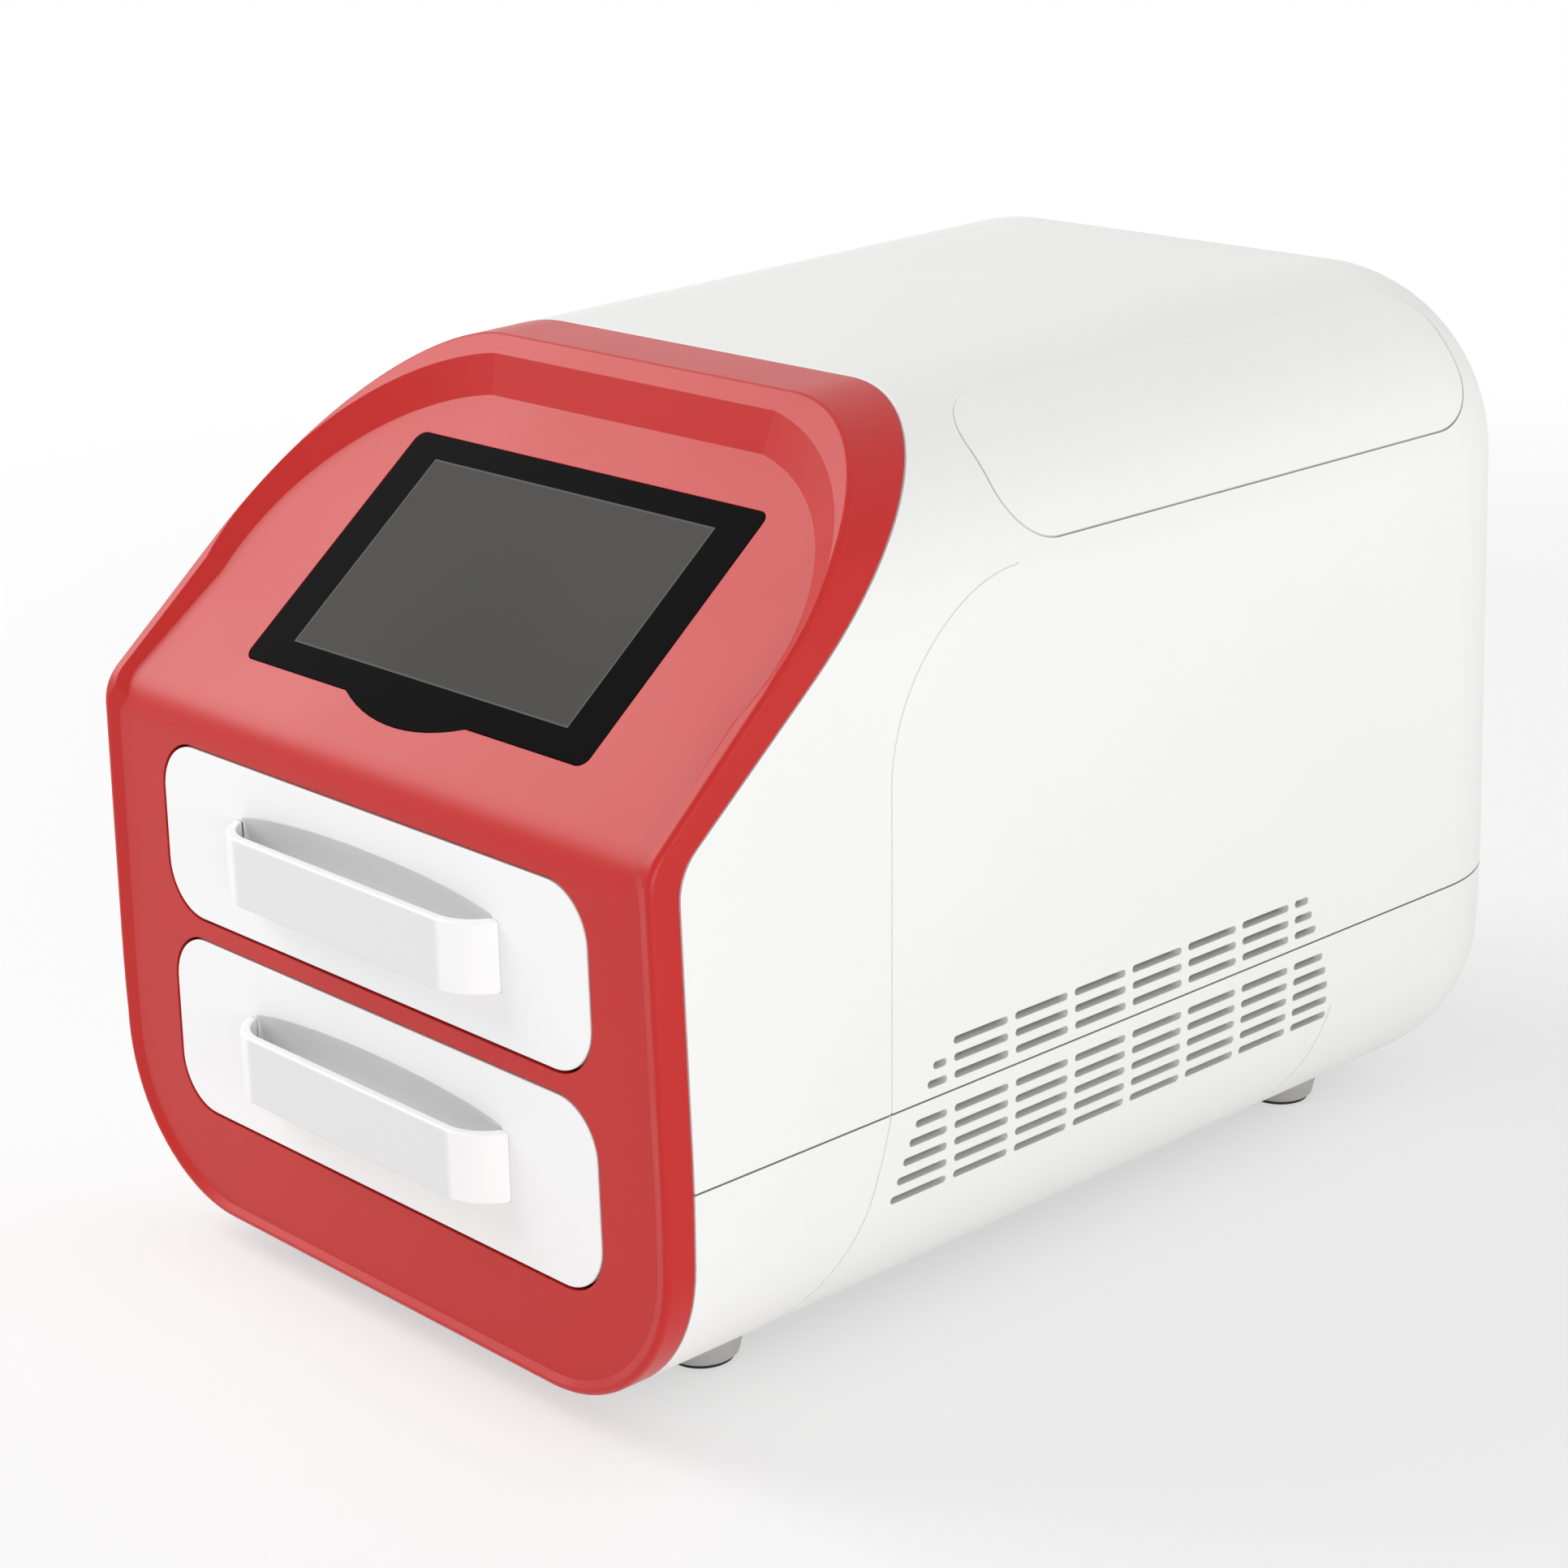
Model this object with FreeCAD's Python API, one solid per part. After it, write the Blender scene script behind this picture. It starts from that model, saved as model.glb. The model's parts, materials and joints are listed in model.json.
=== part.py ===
import FreeCAD, Part
import math
import os

# Semi-dry blotter: a bench instrument with two pull-out transfer cassettes behind a red bezel,
# a sloped touch screen, a white two-part case, and its own power supply and fan.
# All sizes are in millimetres. Solids are drawn with X to the right, Z up from the bench and Y
# measured back from the drawer faces. save() then moves them in Y, so that the origin is at the
# bottom centre of the whole instrument.

Vector = FreeCAD.Vector
ORIGIN = Vector(0, 0, 0)
X_AXIS = Vector(1, 0, 0)
Y_AXIS = Vector(0, 1, 0)
Z_AXIS = Vector(0, 0, 1)

# Case: outer shape shared by the bezel, the cover and the base
case_half_width = 105.0
case_depth = 316.0
case_bottom = 8.0
seam_height = 66.5
cover_top = 221.8
cover_top_at = 107.0
cover_rise = 0.03
upper_draft_deg = 1.64
lower_draft_deg = 1.15
seam_blend = 7.0
top_corner_radius = 50.0
bottom_corner_radius = 42.0
rear_edge_radius = 40.0
case_wall = 3.0

# Bezel: a band round the front, a sloped screen field above an upright drawer field
knee_height = 139.8
slope_deg = 39.15
rim_slope_deg = 41.2
rim_reach = 1.3
rim_rise = 1.9
band_depth = 6.6
band_drop = 4.8
bezel_face = 3.0
rim_knee_radius = 12.0
rim_rounding = 1.4
field_knee_radius = 16.0
band_knee_radius = 14.0
field_margin = 5.0
field_crest_margin = 1.8
field_bottom_margin = 3.2
field_bottom_crest_margin = 1.6
field_bottom_radius = 38.0
slope_side_at = 40.0
slope_side_margin = 10.7
slope_side_crest_margin = 5.8
slope_corner_margin = 20.5
slope_corner_crest_margin = 16.2
slope_corner_up = 84.0
slope_corner_crest_up = 87.5
slope_top_margin = 56.0
slope_top_crest_margin = 55.0
slope_top = 107.0
slope_top_crest = 112.3
slope_field_depth = 3.8
recess_share_behind = -2.0
recess_share_before = 2.2

# Screen on the slope, measured up the slope from the knee
glass_half_width = 63.4
glass_low = 19.1
glass_high = 92.3
glass_thickness = 1.8
glass_corner = 3.0
chin_half_width = 24.5
chin_drop = 5.2
glass_fit = 0.15
window_margin = 6.0
display_half_width = 54.5
display_low = 24.6
display_high = 86.9
display_thickness = 4.2
display_gap = 0.3
board_thickness = 1.6
panel_board_margin = 5.0
panel_board_gap = 2.2
panel_stud_radius = 2.5

# Drawer fronts
front_margin = 23.6
front_draft_deg = 0.9
front_corner = 13.0
front_thickness = 3.0
front_gap = 0.7
lower_front_low = 34.8
lower_front_height = 46.1
upper_front_low = 86.9
upper_front_height = 44.2

# Cup handles, measured up from the low edge of their drawer front
handle_half_length = 50.2
handle_reach = 9.0
handle_corner = 14.2
handle_wall = 2.5
handle_floor = 2.0
handle_low = 12.8
lower_handle_raise = 1.3
handle_height = 17.4
handle_edge = 0.8
pocket_depth = 4.5
pocket_end_depth = 1.33
pocket_rise = 4.4
pocket_wall = 1.6

# Drawers: carrier, cassette and slides, measured up from the low edge of the drawer front
carrier_lift = 3.2
carrier_set_in = 6.4
carrier_sheet = 2.0
carrier_start = 3.0
carrier_wall_height = 24.0
cassette_side_gap = 5.0
cassette_start = 15.0
cassette_length = 136.0
cassette_wall = 4.0
cassette_floor = 4.0
cassette_height = 18.0
plate_thickness = 1.0
plate_margin = 2.0
gel_gap = 9.0
lid_thickness = 5.0
lid_plug_fit = 0.3
knob_radius = 20.0
knob_height = 6.0
knob_lift = 0.3
knob_grip_height = 3.0
knob_grip_width = 9.0
knob_shaft_radius = 4.0
shaft_fit = 0.05
runner_length = 217.0
runner_height = 8.0
runner_thickness = 5.0
runner_low = 10.0
slide_fit = 0.3
rail_sheet = 1.2
rail_length = 222.0
rail_start = 10.5
pin_radius = 2.0
pin_length = 9.0
pin_spread = 28.0
pin_height = 8.0
pin_fit = 0.4
contact_block_half_width = 38.0
contact_block_height = 14.0

# Chassis: folded steel sheet on four posts
chassis_sheet = 1.5
chassis_side_gap = 11.0
chassis_low = 26.0
chassis_start = 10.5
chassis_rear_gap = 32.0
deck_height = 134.0
bay_rear_gap = 16.0
window_in_side = 26.0
window_front_gap = 65.0
post_radius = 6.0
front_tab = 9.0

# Feet and fasteners
foot_set_in = 41.0
foot_front = 43.5
foot_rear_set_in = 58.5
foot_radius = 10.5
foot_tip_radius = 9.0
foot_rounding = 0.6
pad_radius = 7.8
pad_height = 2.2
pad_recess = 1.0
screw_radius = 1.5
screw_head_radius = 2.9
screw_head_height = 1.8
screw_length = 8.0
boss_radius = 4.2
case_boss_set_in = 8.5
case_boss_front = 30.0
case_boss_rear_set_in = 54.0
case_boss_reach = 16.0
boss_relief = 0.1
bezel_boss_gap = 5.0
bezel_boss_heights = (46.0, 112.0)

# Side vents: rows of slots, the row at the seam left out
vent_row_pitch = 4.2
vent_row_top = 78.2
vent_rows = 9
vent_seam_row = 3
vent_slot_height = 1.9
vent_column_pitch = 20.57
vent_first_gap = 86.0
vent_gap = 2.5
vent_columns = 8
vent_front_at_seam = 76.9
vent_front_lean = 0.47
vent_rear_gap = 8.7
vent_rear_lean = 0.37
vent_rear_least_gap = 4.3
vent_shortest = 4.0

# Shoulder panels, set into the cover's long top corners
panel_front = 113.3
panel_rear_margin = 31.0
panel_turn_deg = 49.2
panel_half_turn_deg = 23.7
panel_corner = 15.0
panel_thickness = 1.5
panel_gap = 0.5

# Fine step line on the case sides
line_width = 0.5
line_depth = 0.35
line_front = 67.0
line_front_lean = 3.0
line_top = 185.0
line_top_radius = 45.0
line_rear_margin = 87.0
line_toe_front = 22.0
line_toe_rear = 10.0
line_bend_drop = 28.0

# Fine shadow groove outside, below the seam and behind the bezel
groove_width = 0.5
groove_depth = 0.8

# Rear panel with fan, mains inlet, switch and data port
rear_panel_half_width = 58.0
rear_panel_low = 76.0
rear_panel_high = 172.0
rear_panel_corner = 4.0
rear_panel_sheet = 1.5
rear_panel_set_back = 3.5
rear_panel_fit = 0.3
rear_ledge = 6.0
rear_frame_wall = 2.5
panel_screw_inset = 14.0
fan_across = -21.0
fan_height = 135.5
fan_size = 60.0
fan_depth = 15.0
fan_bore_radius = 28.5
fan_corner = 4.0
fan_hole_spacing = 50.0
fan_hole_radius = 2.2
fan_hub_radius = 12.0
fan_hub_depth = 11.0
fan_tip_gap = 1.0
fan_blades = 7
fan_blade_thickness = 1.6
fan_blade_turn_deg = 35.0
fan_shaft_radius = 1.5
fan_strut_width = 4.0
fan_strut_depth = 2.0
fan_post_depth = 3.0
fan_struts = 4
guard_wire = 0.9
guard_rings = 5
guard_eye_margin = 0.6
inlet_across = 30.0
inlet_height = 92.0
inlet_half_width = 14.0
inlet_half_height = 10.0
inlet_depth = 22.0
inlet_flange_half_width = 16.5
inlet_flange_half_height = 12.5
inlet_flange = 2.0
inlet_corner = 3.0
socket_half_width = 12.0
socket_half_height = 8.0
socket_depth = 16.0
blade_half_width = 1.0
blade_half_height = 2.0
blade_length = 13.0
blade_spread = 7.0
blade_offset = 2.0
switch_across = -30.0
switch_height = 92.0
switch_half_width = 6.5
switch_half_height = 9.6
switch_depth = 14.0
switch_flange = 1.5
switch_lip = 1.5
rocker_fit = 0.4
rocker_swing_room = 0.8
rocker_depth = 4.0
rocker_waist = 0.6
rocker_tip_out = 0.4
rocker_valley = 0.6
rocker_deg = 10.0
rocker_pin_radius = 1.0
port_across = 36.0
port_height = 140.0
port_half_width = 8.0
port_half_height = 7.0
port_depth = 16.0
port_wall = 1.2
port_stand_out = 0.6

# Electronics
supply_half_width = 52.0
supply_front_gap = 11.0
supply_rear_gap = 8.0
supply_height = 42.0
supply_wall = 1.2
supply_slots = 7
supply_slot_width = 4.0
supply_slot_margin = 14.0
supply_slot_inset = 16.0
main_board_half_width = 70.0
main_board_start = 120.0
main_board_rear_gap = 14.0
main_board_lift = 6.0
stud_radius = 3.0
sink_fins = 8
sink_fin_height = 22.0
sink_length = 60.0
sink_width = 50.0
sink_across = 8.0
sink_rear_gap = 12.0
sink_base = 3.0
sink_fin_thickness = 1.6
ribbon_width = 20.0
ribbon_thickness = 0.5
ribbon_straight = 14.0
ribbon_drop = 26.0
ribbon_bend = 8.0

# Parts on the main board: left edge across, front edge as a share of the board's length
capacitor_radius = 8.0
capacitor_height = 26.0
capacitor_pitch = 19.0
capacitor_across = -50.0
capacitor_share = 0.233
small_capacitor_radius = 4.0
small_capacitor_height = 12.0
small_capacitor_pitch = 10.0
small_capacitor_across = -52.0
small_capacitor_share = 0.4
relay_size = (18.0, 12.0, 15.0)
relay_pitch = 22.0
relay_across = -56.0
relay_share = 0.533
transformer_size = (38.0, 32.0, 27.0)
transformer_across = -50.0
transformer_share = 0.693
ribbon_socket_size = (24.0, 8.0, 7.0)
ribbon_socket_share = 0.02
processor_size = (20.0, 20.0, 2.0)
processor_across = 28.0
processor_share = 0.133

# Values worked out from the sizes above
body_shift = (case_depth - handle_reach) / 2
slope = math.radians(slope_deg)
front_half_width = case_half_width - front_margin
carrier_half_width = front_half_width - carrier_set_in
cassette_half_width = carrier_half_width - cassette_side_gap
cassette_end = cassette_start + cassette_length
chassis_half_width = carrier_half_width + chassis_side_gap
chassis_end = case_depth - chassis_rear_gap
bay_end = cassette_end + bay_rear_gap
bezel_boss_across = chassis_half_width + bezel_boss_gap
case_boss_across = case_half_width - case_boss_set_in
case_boss_rear = case_depth - case_boss_rear_set_in
foot_across = case_half_width - foot_set_in
foot_rear = case_depth - foot_rear_set_in
panel_rear = case_depth - panel_rear_margin
line_rear = case_depth - line_rear_margin
vent_rear_at_seam = line_rear - vent_rear_gap
vent_rear_limit = line_rear - vent_rear_least_gap
supply_start = bay_end + supply_front_gap
supply_length = chassis_end - supply_rear_gap - supply_start
main_board_length = chassis_end - main_board_rear_gap - main_board_start
rear_panel_face = case_depth - rear_panel_set_back
lip = 1.0
fit_tolerance = 1e-6
far = 400.0
DRAWERS = {
    "upper": (upper_front_low, upper_front_height),
    "lower": (lower_front_low, lower_front_height),
}
FEET = {
    "front_left": (-foot_across, foot_front),
    "front_right": (foot_across, foot_front),
    "rear_left": (-foot_across, foot_rear),
    "rear_right": (foot_across, foot_rear),
}


def box(low, high):
    """A block between two opposite corners."""
    size = [b - a for a, b in zip(low, high)]
    return Part.makeBox(size[0], size[1], size[2], Vector(*low))


def rod(radius, start, axis, length):
    return Part.makeCylinder(radius, length, Vector(*start), axis)


def rounded_block(low, high, radius, axis):
    """A block with its four edges along axis rounded."""
    block = box(low, high)
    edges = [e for e in block.Edges if abs(e.tangentAt(e.FirstParameter).dot(axis)) > 0.99]
    return block.makeFillet(radius, edges)


def fuse(shapes):
    first, rest = shapes[0], shapes[1:]
    return first.multiFuse(rest).removeSplitter() if rest else first


def group(shapes):
    return Part.makeCompound(shapes)


def both_sides(shape):
    """The shape and its mirror image across the middle plane."""
    return [shape, shape.mirror(ORIGIN, X_AXIS)]


def on_slope(shape):
    """Turns a solid drawn flat, with Y up the slope and Z outwards, onto the screen slope."""
    placed = shape.copy()
    placed.rotate(ORIGIN, X_AXIS, slope_deg)
    placed.translate(Vector(0, 0, knee_height))
    return placed


def line(a, b):
    return Part.LineSegment(a, b).toShape()


def arc(a, b, c):
    return Part.Arc(a, b, c).toShape()


def profile_prism(points, direction):
    return Part.Face(Part.makePolygon(points + [points[0]])).extrude(direction)


def save(name, shape):
    placed = shape.copy()
    placed.translate(Vector(0, -body_shift, 0))
    placed.exportStep(os.path.join("parts", name + ".step"))


def top_at(y):
    return cover_top + cover_rise * (y - cover_top_at)


def side_corner(radius, centre_height, draft_deg, inset):
    """Across position of a corner arc's centre, where the drafted side runs into the arc."""
    draft = math.radians(draft_deg)
    rise = abs(centre_height - seam_height) + radius * math.sin(draft)
    return case_half_width - inset - radius * math.cos(draft) - rise * math.tan(draft)


def case_outline(y, inset):
    """Runs of the case's outline at depth y, moved inwards by inset, clockwise from the top
    right corner. A run is two points for a line and three for an arc."""
    top, bottom = top_at(y) - inset, case_bottom + inset
    r_top, r_low = top_corner_radius - inset, bottom_corner_radius - inset
    up, down = math.radians(upper_draft_deg), math.radians(lower_draft_deg)
    z_top, z_low = top - r_top, bottom + r_low
    x_top = side_corner(r_top, z_top, upper_draft_deg, inset)
    x_low = side_corner(r_low, z_low, lower_draft_deg, inset)

    def top_point(turn):
        return Vector(x_top + r_top * math.cos(turn), y, z_top + r_top * math.sin(turn))

    def low_point(turn):
        return Vector(x_low + r_low * math.cos(turn), y, z_low - r_low * math.sin(turn))

    quarter = math.pi / 2
    seam = Vector(case_half_width - inset, y, seam_height)
    above = seam + Vector(-math.sin(up), 0, math.cos(up)) * seam_blend
    below = seam + Vector(-math.sin(down), 0, -math.cos(down)) * seam_blend
    half_turn = (up + down) / 2
    bulge = seam_blend * math.tan(half_turn / 2)
    middle = seam - X_AXIS * bulge
    right = [
        (top_point(quarter), top_point((quarter + up) / 2), top_point(up)),
        (top_point(up), above),
        (above, middle, below),
        (below, low_point(down)),
        (low_point(down), low_point((quarter + down) / 2), low_point(quarter)),
    ]
    left = [tuple(Vector(-p.x, p.y, p.z) for p in reversed(run)) for run in reversed(right)]
    return right + [(right[-1][-1], left[0][0])] + left + [(left[-1][-1], right[0][0])]


def run_edge(run):
    return arc(*run) if len(run) == 3 else line(*run)


def swept_face(front, rear):
    """The face between one run of the front outline and the same run of the rear outline."""
    if len(front) == 3:
        return arc(*front).extrude(rear[0] - front[0])
    corners = [front[0], front[1], rear[1], rear[0]]
    return Part.Face(Part.makePolygon(corners + [corners[0]]))


def case_solid(inset):
    """The whole case as one solid block, moved inwards by inset, with its rear edge rounded."""
    y0, y1 = -rim_reach - case_wall - inset, case_depth - inset
    front, rear = case_outline(y0, inset), case_outline(y1, inset)
    faces = [swept_face(a, b) for a, b in zip(front, rear)]
    faces += [Part.Face(Part.Wire([run_edge(run) for run in runs])) for runs in (front, rear)]
    shell = Part.Shell(faces)
    shell.sewShape()
    block = Part.Solid(shell.Shells[0].reversed())
    rear_edges = [e for e in block.Edges if all(abs(v.Y - y1) < fit_tolerance for v in e.Vertexes)]
    return block.makeFillet(rear_edge_radius - inset, rear_edges)


def front_region(y_upright, rise, angle_deg, radius):
    """Everything in front of a surface that is upright at y_upright, then slopes back above the
    knee at angle_deg, rise out from the screen slope at the knee, with a rounded knee."""
    angle = math.radians(angle_deg)
    direction = Vector(0, math.cos(angle), math.sin(angle))
    outward = Vector(0, -math.sin(slope), math.cos(slope))
    foot = Vector(0, 0, knee_height) + outward * rise
    along = (y_upright - foot.y) / direction.y
    corner = foot + direction * along
    reach = radius * math.tan((math.pi / 2 - angle) / 2)
    low_tangent = corner - Z_AXIS * reach
    high_tangent = corner + direction * reach
    centre = low_tangent + Y_AXIS * radius
    toward_corner = corner - centre
    toward_corner.normalize()
    middle = centre + toward_corner * radius
    top = corner + direction * far
    bottom = Vector(0, y_upright, -lip)
    outer_top = Vector(0, -far, top.z)
    outer_bottom = Vector(0, -far, -lip)
    edges = [
        line(bottom, low_tangent),
        arc(low_tangent, middle, high_tangent),
        line(high_tangent, top),
        line(top, outer_top),
        line(outer_top, outer_bottom),
        line(outer_bottom, bottom),
    ]
    face = Part.Face(Part.Wire(edges))
    face.translate(Vector(-far / 2, 0, 0))
    return face.extrude(Vector(far, 0, 0))


def rim_front():
    return front_region(-rim_reach, rim_rise, rim_slope_deg, rim_knee_radius)


def band_back():
    return front_region(band_depth, -band_drop, slope_deg, band_knee_radius)


def closed_outline(right_points, kinds, place):
    """A symmetric closed wire from its right half. kinds says l for a line and a for an arc,
    which takes two points."""
    edges, at = [], 0
    for kind in kinds:
        step = 2 if kind == "a" else 1
        points = [Vector(*p) for p in right_points[at:at + step + 1]]
        edges.append(arc(*points) if kind == "a" else line(*points))
        at += step
    mirrored = [edge.mirror(ORIGIN, X_AXIS) for edge in edges]
    first, last = Vector(*right_points[0]), Vector(*right_points[-1])
    ends = [line(Vector(-p.x, p.y, p.z), p) for p in (first, last)]
    wire = Part.Wire(Part.__sortEdges__(edges + mirrored + ends))
    return place(wire)


def blend(at_field, at_crest, share):
    return at_field + (at_crest - at_field) * share


def upright_field_outline(share):
    """Outline of the upright field; share 0 is on the field, 1 on the rim's crest."""
    half = blend(case_half_width - field_margin, case_half_width - field_crest_margin, share)
    low = case_bottom + blend(field_bottom_margin, field_bottom_crest_margin, share)
    radius = field_bottom_radius + blend(0, field_margin - field_crest_margin, share)
    lean = math.tan(math.radians(upper_draft_deg))
    top = knee_height + field_knee_radius
    y = -rim_reach * share
    turn = radius * (1 - math.cos(math.pi / 4))
    points = [
        (half - lean * (top - seam_height), y, top),
        (half, y, seam_height),
        (half, y, low + radius),
        (half - turn, y, low + turn),
        (half - radius, y, low),
    ]
    return closed_outline(points, "lla", lambda wire: wire)


def slope_field_outline(share):
    """Outline of the sloped field, drawn flat with Y up the slope; share as above."""
    side = case_half_width - blend(slope_side_margin, slope_side_crest_margin, share)
    foot_half = blend(case_half_width - field_margin, case_half_width - field_crest_margin, share)
    lean = math.tan(math.radians(upper_draft_deg))
    foot_half -= lean * (knee_height - seam_height)
    low = -field_knee_radius
    z = slope_field_depth * share
    steeper = (side - foot_half) / slope_side_at
    points = [
        (foot_half + steeper * low, low, z),
        (side, slope_side_at, z),
        (
            case_half_width - blend(slope_corner_margin, slope_corner_crest_margin, share),
            blend(slope_corner_up, slope_corner_crest_up, share),
            z,
        ),
        (
            case_half_width - blend(slope_top_margin, slope_top_crest_margin, share),
            blend(slope_top, slope_top_crest, share),
            z,
        ),
    ]
    return closed_outline(points, "la", on_slope)


def field_recess():
    """The shallow dished field in the bezel's front, with its sloping walls."""
    tools = [
        Part.makeLoft([outline(recess_share_behind), outline(recess_share_before)], True, True)
        for outline in (upright_field_outline, slope_field_outline)
    ]
    face = front_region(0.0, 0.0, slope_deg, field_knee_radius)
    return fuse(tools).common(face)


def front_plate_prism(low, height, grow, y_from, y_to):
    """A drawer front's outline as a prism, grown by grow on every side."""
    draft = math.tan(math.radians(front_draft_deg))

    def half_at(z):
        return front_half_width - draft * (z - lower_front_low) + grow

    z0, z1 = low - grow, low + height + grow
    corners = [
        Vector(-half_at(z0), y_from, z0),
        Vector(half_at(z0), y_from, z0),
        Vector(half_at(z1), y_from, z1),
        Vector(-half_at(z1), y_from, z1),
    ]
    prism = profile_prism(corners, Vector(0, y_to - y_from, 0))
    edges = [e for e in prism.Edges if abs(e.tangentAt(e.FirstParameter).dot(Y_AXIS)) > 0.99]
    return prism.makeFillet(front_corner + grow, edges)


def glass_outline_prism(grow, z_from, z_to):
    """The screen glass with the round chin on its lower edge, drawn flat."""
    plate = rounded_block(
        (-glass_half_width - grow, glass_low - grow, z_from),
        (glass_half_width + grow, glass_high + grow, z_to),
        glass_corner,
        Z_AXIS,
    )
    half, drop = chin_half_width + grow, chin_drop + grow
    chord = glass_low + lip
    left, right = Vector(-half, chord, z_from), Vector(half, chord, z_from)
    lowest = Vector(0, glass_low - drop, z_from)
    face = Part.Face(Part.Wire([arc(left, lowest, right), line(right, left)]))
    chin = face.extrude(Vector(0, 0, z_to - z_from))
    return fuse([plate, chin])


def panel_studs(radius, z_from, z_to):
    """Four studs round the display, drawn flat."""
    across = glass_half_width - panel_stud_radius
    return [
        rod(radius, (x, y, z_from), Z_AXIS, z_to - z_from)
        for x in (-across, across)
        for y in (glass_low + panel_stud_radius, glass_high - panel_stud_radius)
    ]


def display_back():
    return -glass_thickness - display_gap - display_thickness


def display_board_top():
    return display_back() - panel_board_gap


def lies_on(edge, skin):
    """Whether an edge runs on a skin of faces all along."""
    span = edge.LastParameter - edge.FirstParameter
    points = [edge.valueAt(edge.FirstParameter + span * share) for share in (0.25, 0.5, 0.75)]
    return all(skin.distToShape(Part.Vertex(p))[0] < lip / 100 for p in points)


def bezel_band():
    """The bezel's outer shape before its fields are cut, with a rounded front rim."""
    case, front = case_solid(0), rim_front()
    band = case.common(band_back()).cut(front).toNurbs()
    skins = [Part.Shell(case.Faces), Part.Shell(front.Faces)]
    rim = [e for e in band.Edges if all(lies_on(e, skin) for skin in skins)]
    return band.makeFillet(rim_rounding, rim)


def build_bezel():
    band = bezel_band()
    hollow_front = front_region(bezel_face, -bezel_face, slope_deg, band_knee_radius)
    hollow = case_solid(case_wall).cut(hollow_front)
    bezel = band.cut(field_recess()).cut(hollow)
    bosses = []
    for height in bezel_boss_heights:
        start = (bezel_boss_across, bezel_face - lip, height)
        boss = rod(boss_radius, start, Y_AXIS, chassis_start - bezel_face + lip)
        bosses += both_sides(boss)
    studs = [on_slope(s) for s in panel_studs(panel_stud_radius, display_board_top(), -bezel_face + lip)]
    bezel = bezel.multiFuse(bosses + studs)
    cuts = [
        front_plate_prism(low, height, front_gap, -far / 4, band_depth + lip)
        for low, height in DRAWERS.values()
    ]
    cuts.append(on_slope(glass_outline_prism(glass_fit, -glass_thickness, far / 4)))
    window = box(
        (-glass_half_width + window_margin, glass_low + window_margin - lip, -bezel_face - lip),
        (glass_half_width - window_margin, glass_high - window_margin + lip, 0),
    )
    cuts.append(on_slope(window))
    for height in bezel_boss_heights:
        start = (bezel_boss_across, chassis_start - screw_length + lip, height)
        cuts += both_sides(rod(screw_radius, start, Y_AXIS, screw_length + lip))
    cuts += [on_slope(s) for s in panel_studs(screw_radius / 2, display_board_top() - lip, -bezel_face)]
    return bezel.cut(cuts)


def vent_row_heights():
    rows = [vent_row_top - row * vent_row_pitch for row in range(vent_rows)]
    return [z for row, z in enumerate(rows) if row != vent_seam_row]


def vent_slots():
    """Slots right through both sides, in columns, with leaning ends to each row."""
    slots = []
    for z in vent_row_heights():
        above = z - seam_height
        front = vent_front_at_seam + vent_front_lean * above
        rear = min(vent_rear_at_seam - vent_rear_lean * above, vent_rear_limit)
        for column in range(vent_columns):
            gap_after = vent_first_gap + vent_column_pitch * column
            start = max(front, gap_after - vent_column_pitch + vent_gap / 2)
            end = min(rear, gap_after - vent_gap / 2) if column < vent_columns - 1 else rear
            if end - start >= vent_shortest:
                slots.append(vent_slot(start, end, z))
    return slots


def vent_slot(start, end, z):
    r = vent_slot_height / 2
    x = -far / 2
    a, b = Vector(x, start + r, z + r), Vector(x, end - r, z + r)
    c, d = Vector(x, end - r, z - r), Vector(x, start + r, z - r)
    edges = [line(a, b), arc(b, Vector(x, end, z), c), line(c, d), arc(d, Vector(x, start, z), a)]
    return Part.Face(Part.Wire(edges)).extrude(Vector(far, 0, 0))


def panel_region(grow, side):
    """A prism through one shoulder, square to it, with the shoulder panel's outline. It grows
    on all edges but the upper one, where panel and cover meet without a gap."""
    half = top_corner_radius * math.sin(math.radians(panel_half_turn_deg))
    depth = top_corner_radius / 2
    block = rounded_block(
        (-half, panel_front - grow, -depth),
        (half + grow, panel_rear + grow, depth),
        panel_corner + grow,
        Z_AXIS,
    )
    block.rotate(ORIGIN, Y_AXIS, panel_turn_deg)
    turn = math.radians(panel_turn_deg)
    z_centre = cover_top - top_corner_radius
    x_centre = side_corner(top_corner_radius, z_centre, upper_draft_deg, 0)
    rise = (panel_front + panel_rear) / 2 - cover_top_at
    reach = top_corner_radius
    middle = Vector(
        x_centre + reach * math.sin(turn),
        0,
        z_centre + cover_rise * rise + reach * math.cos(turn),
    )
    block.translate(middle)
    return block if side > 0 else block.mirror(ORIGIN, X_AXIS)


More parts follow.
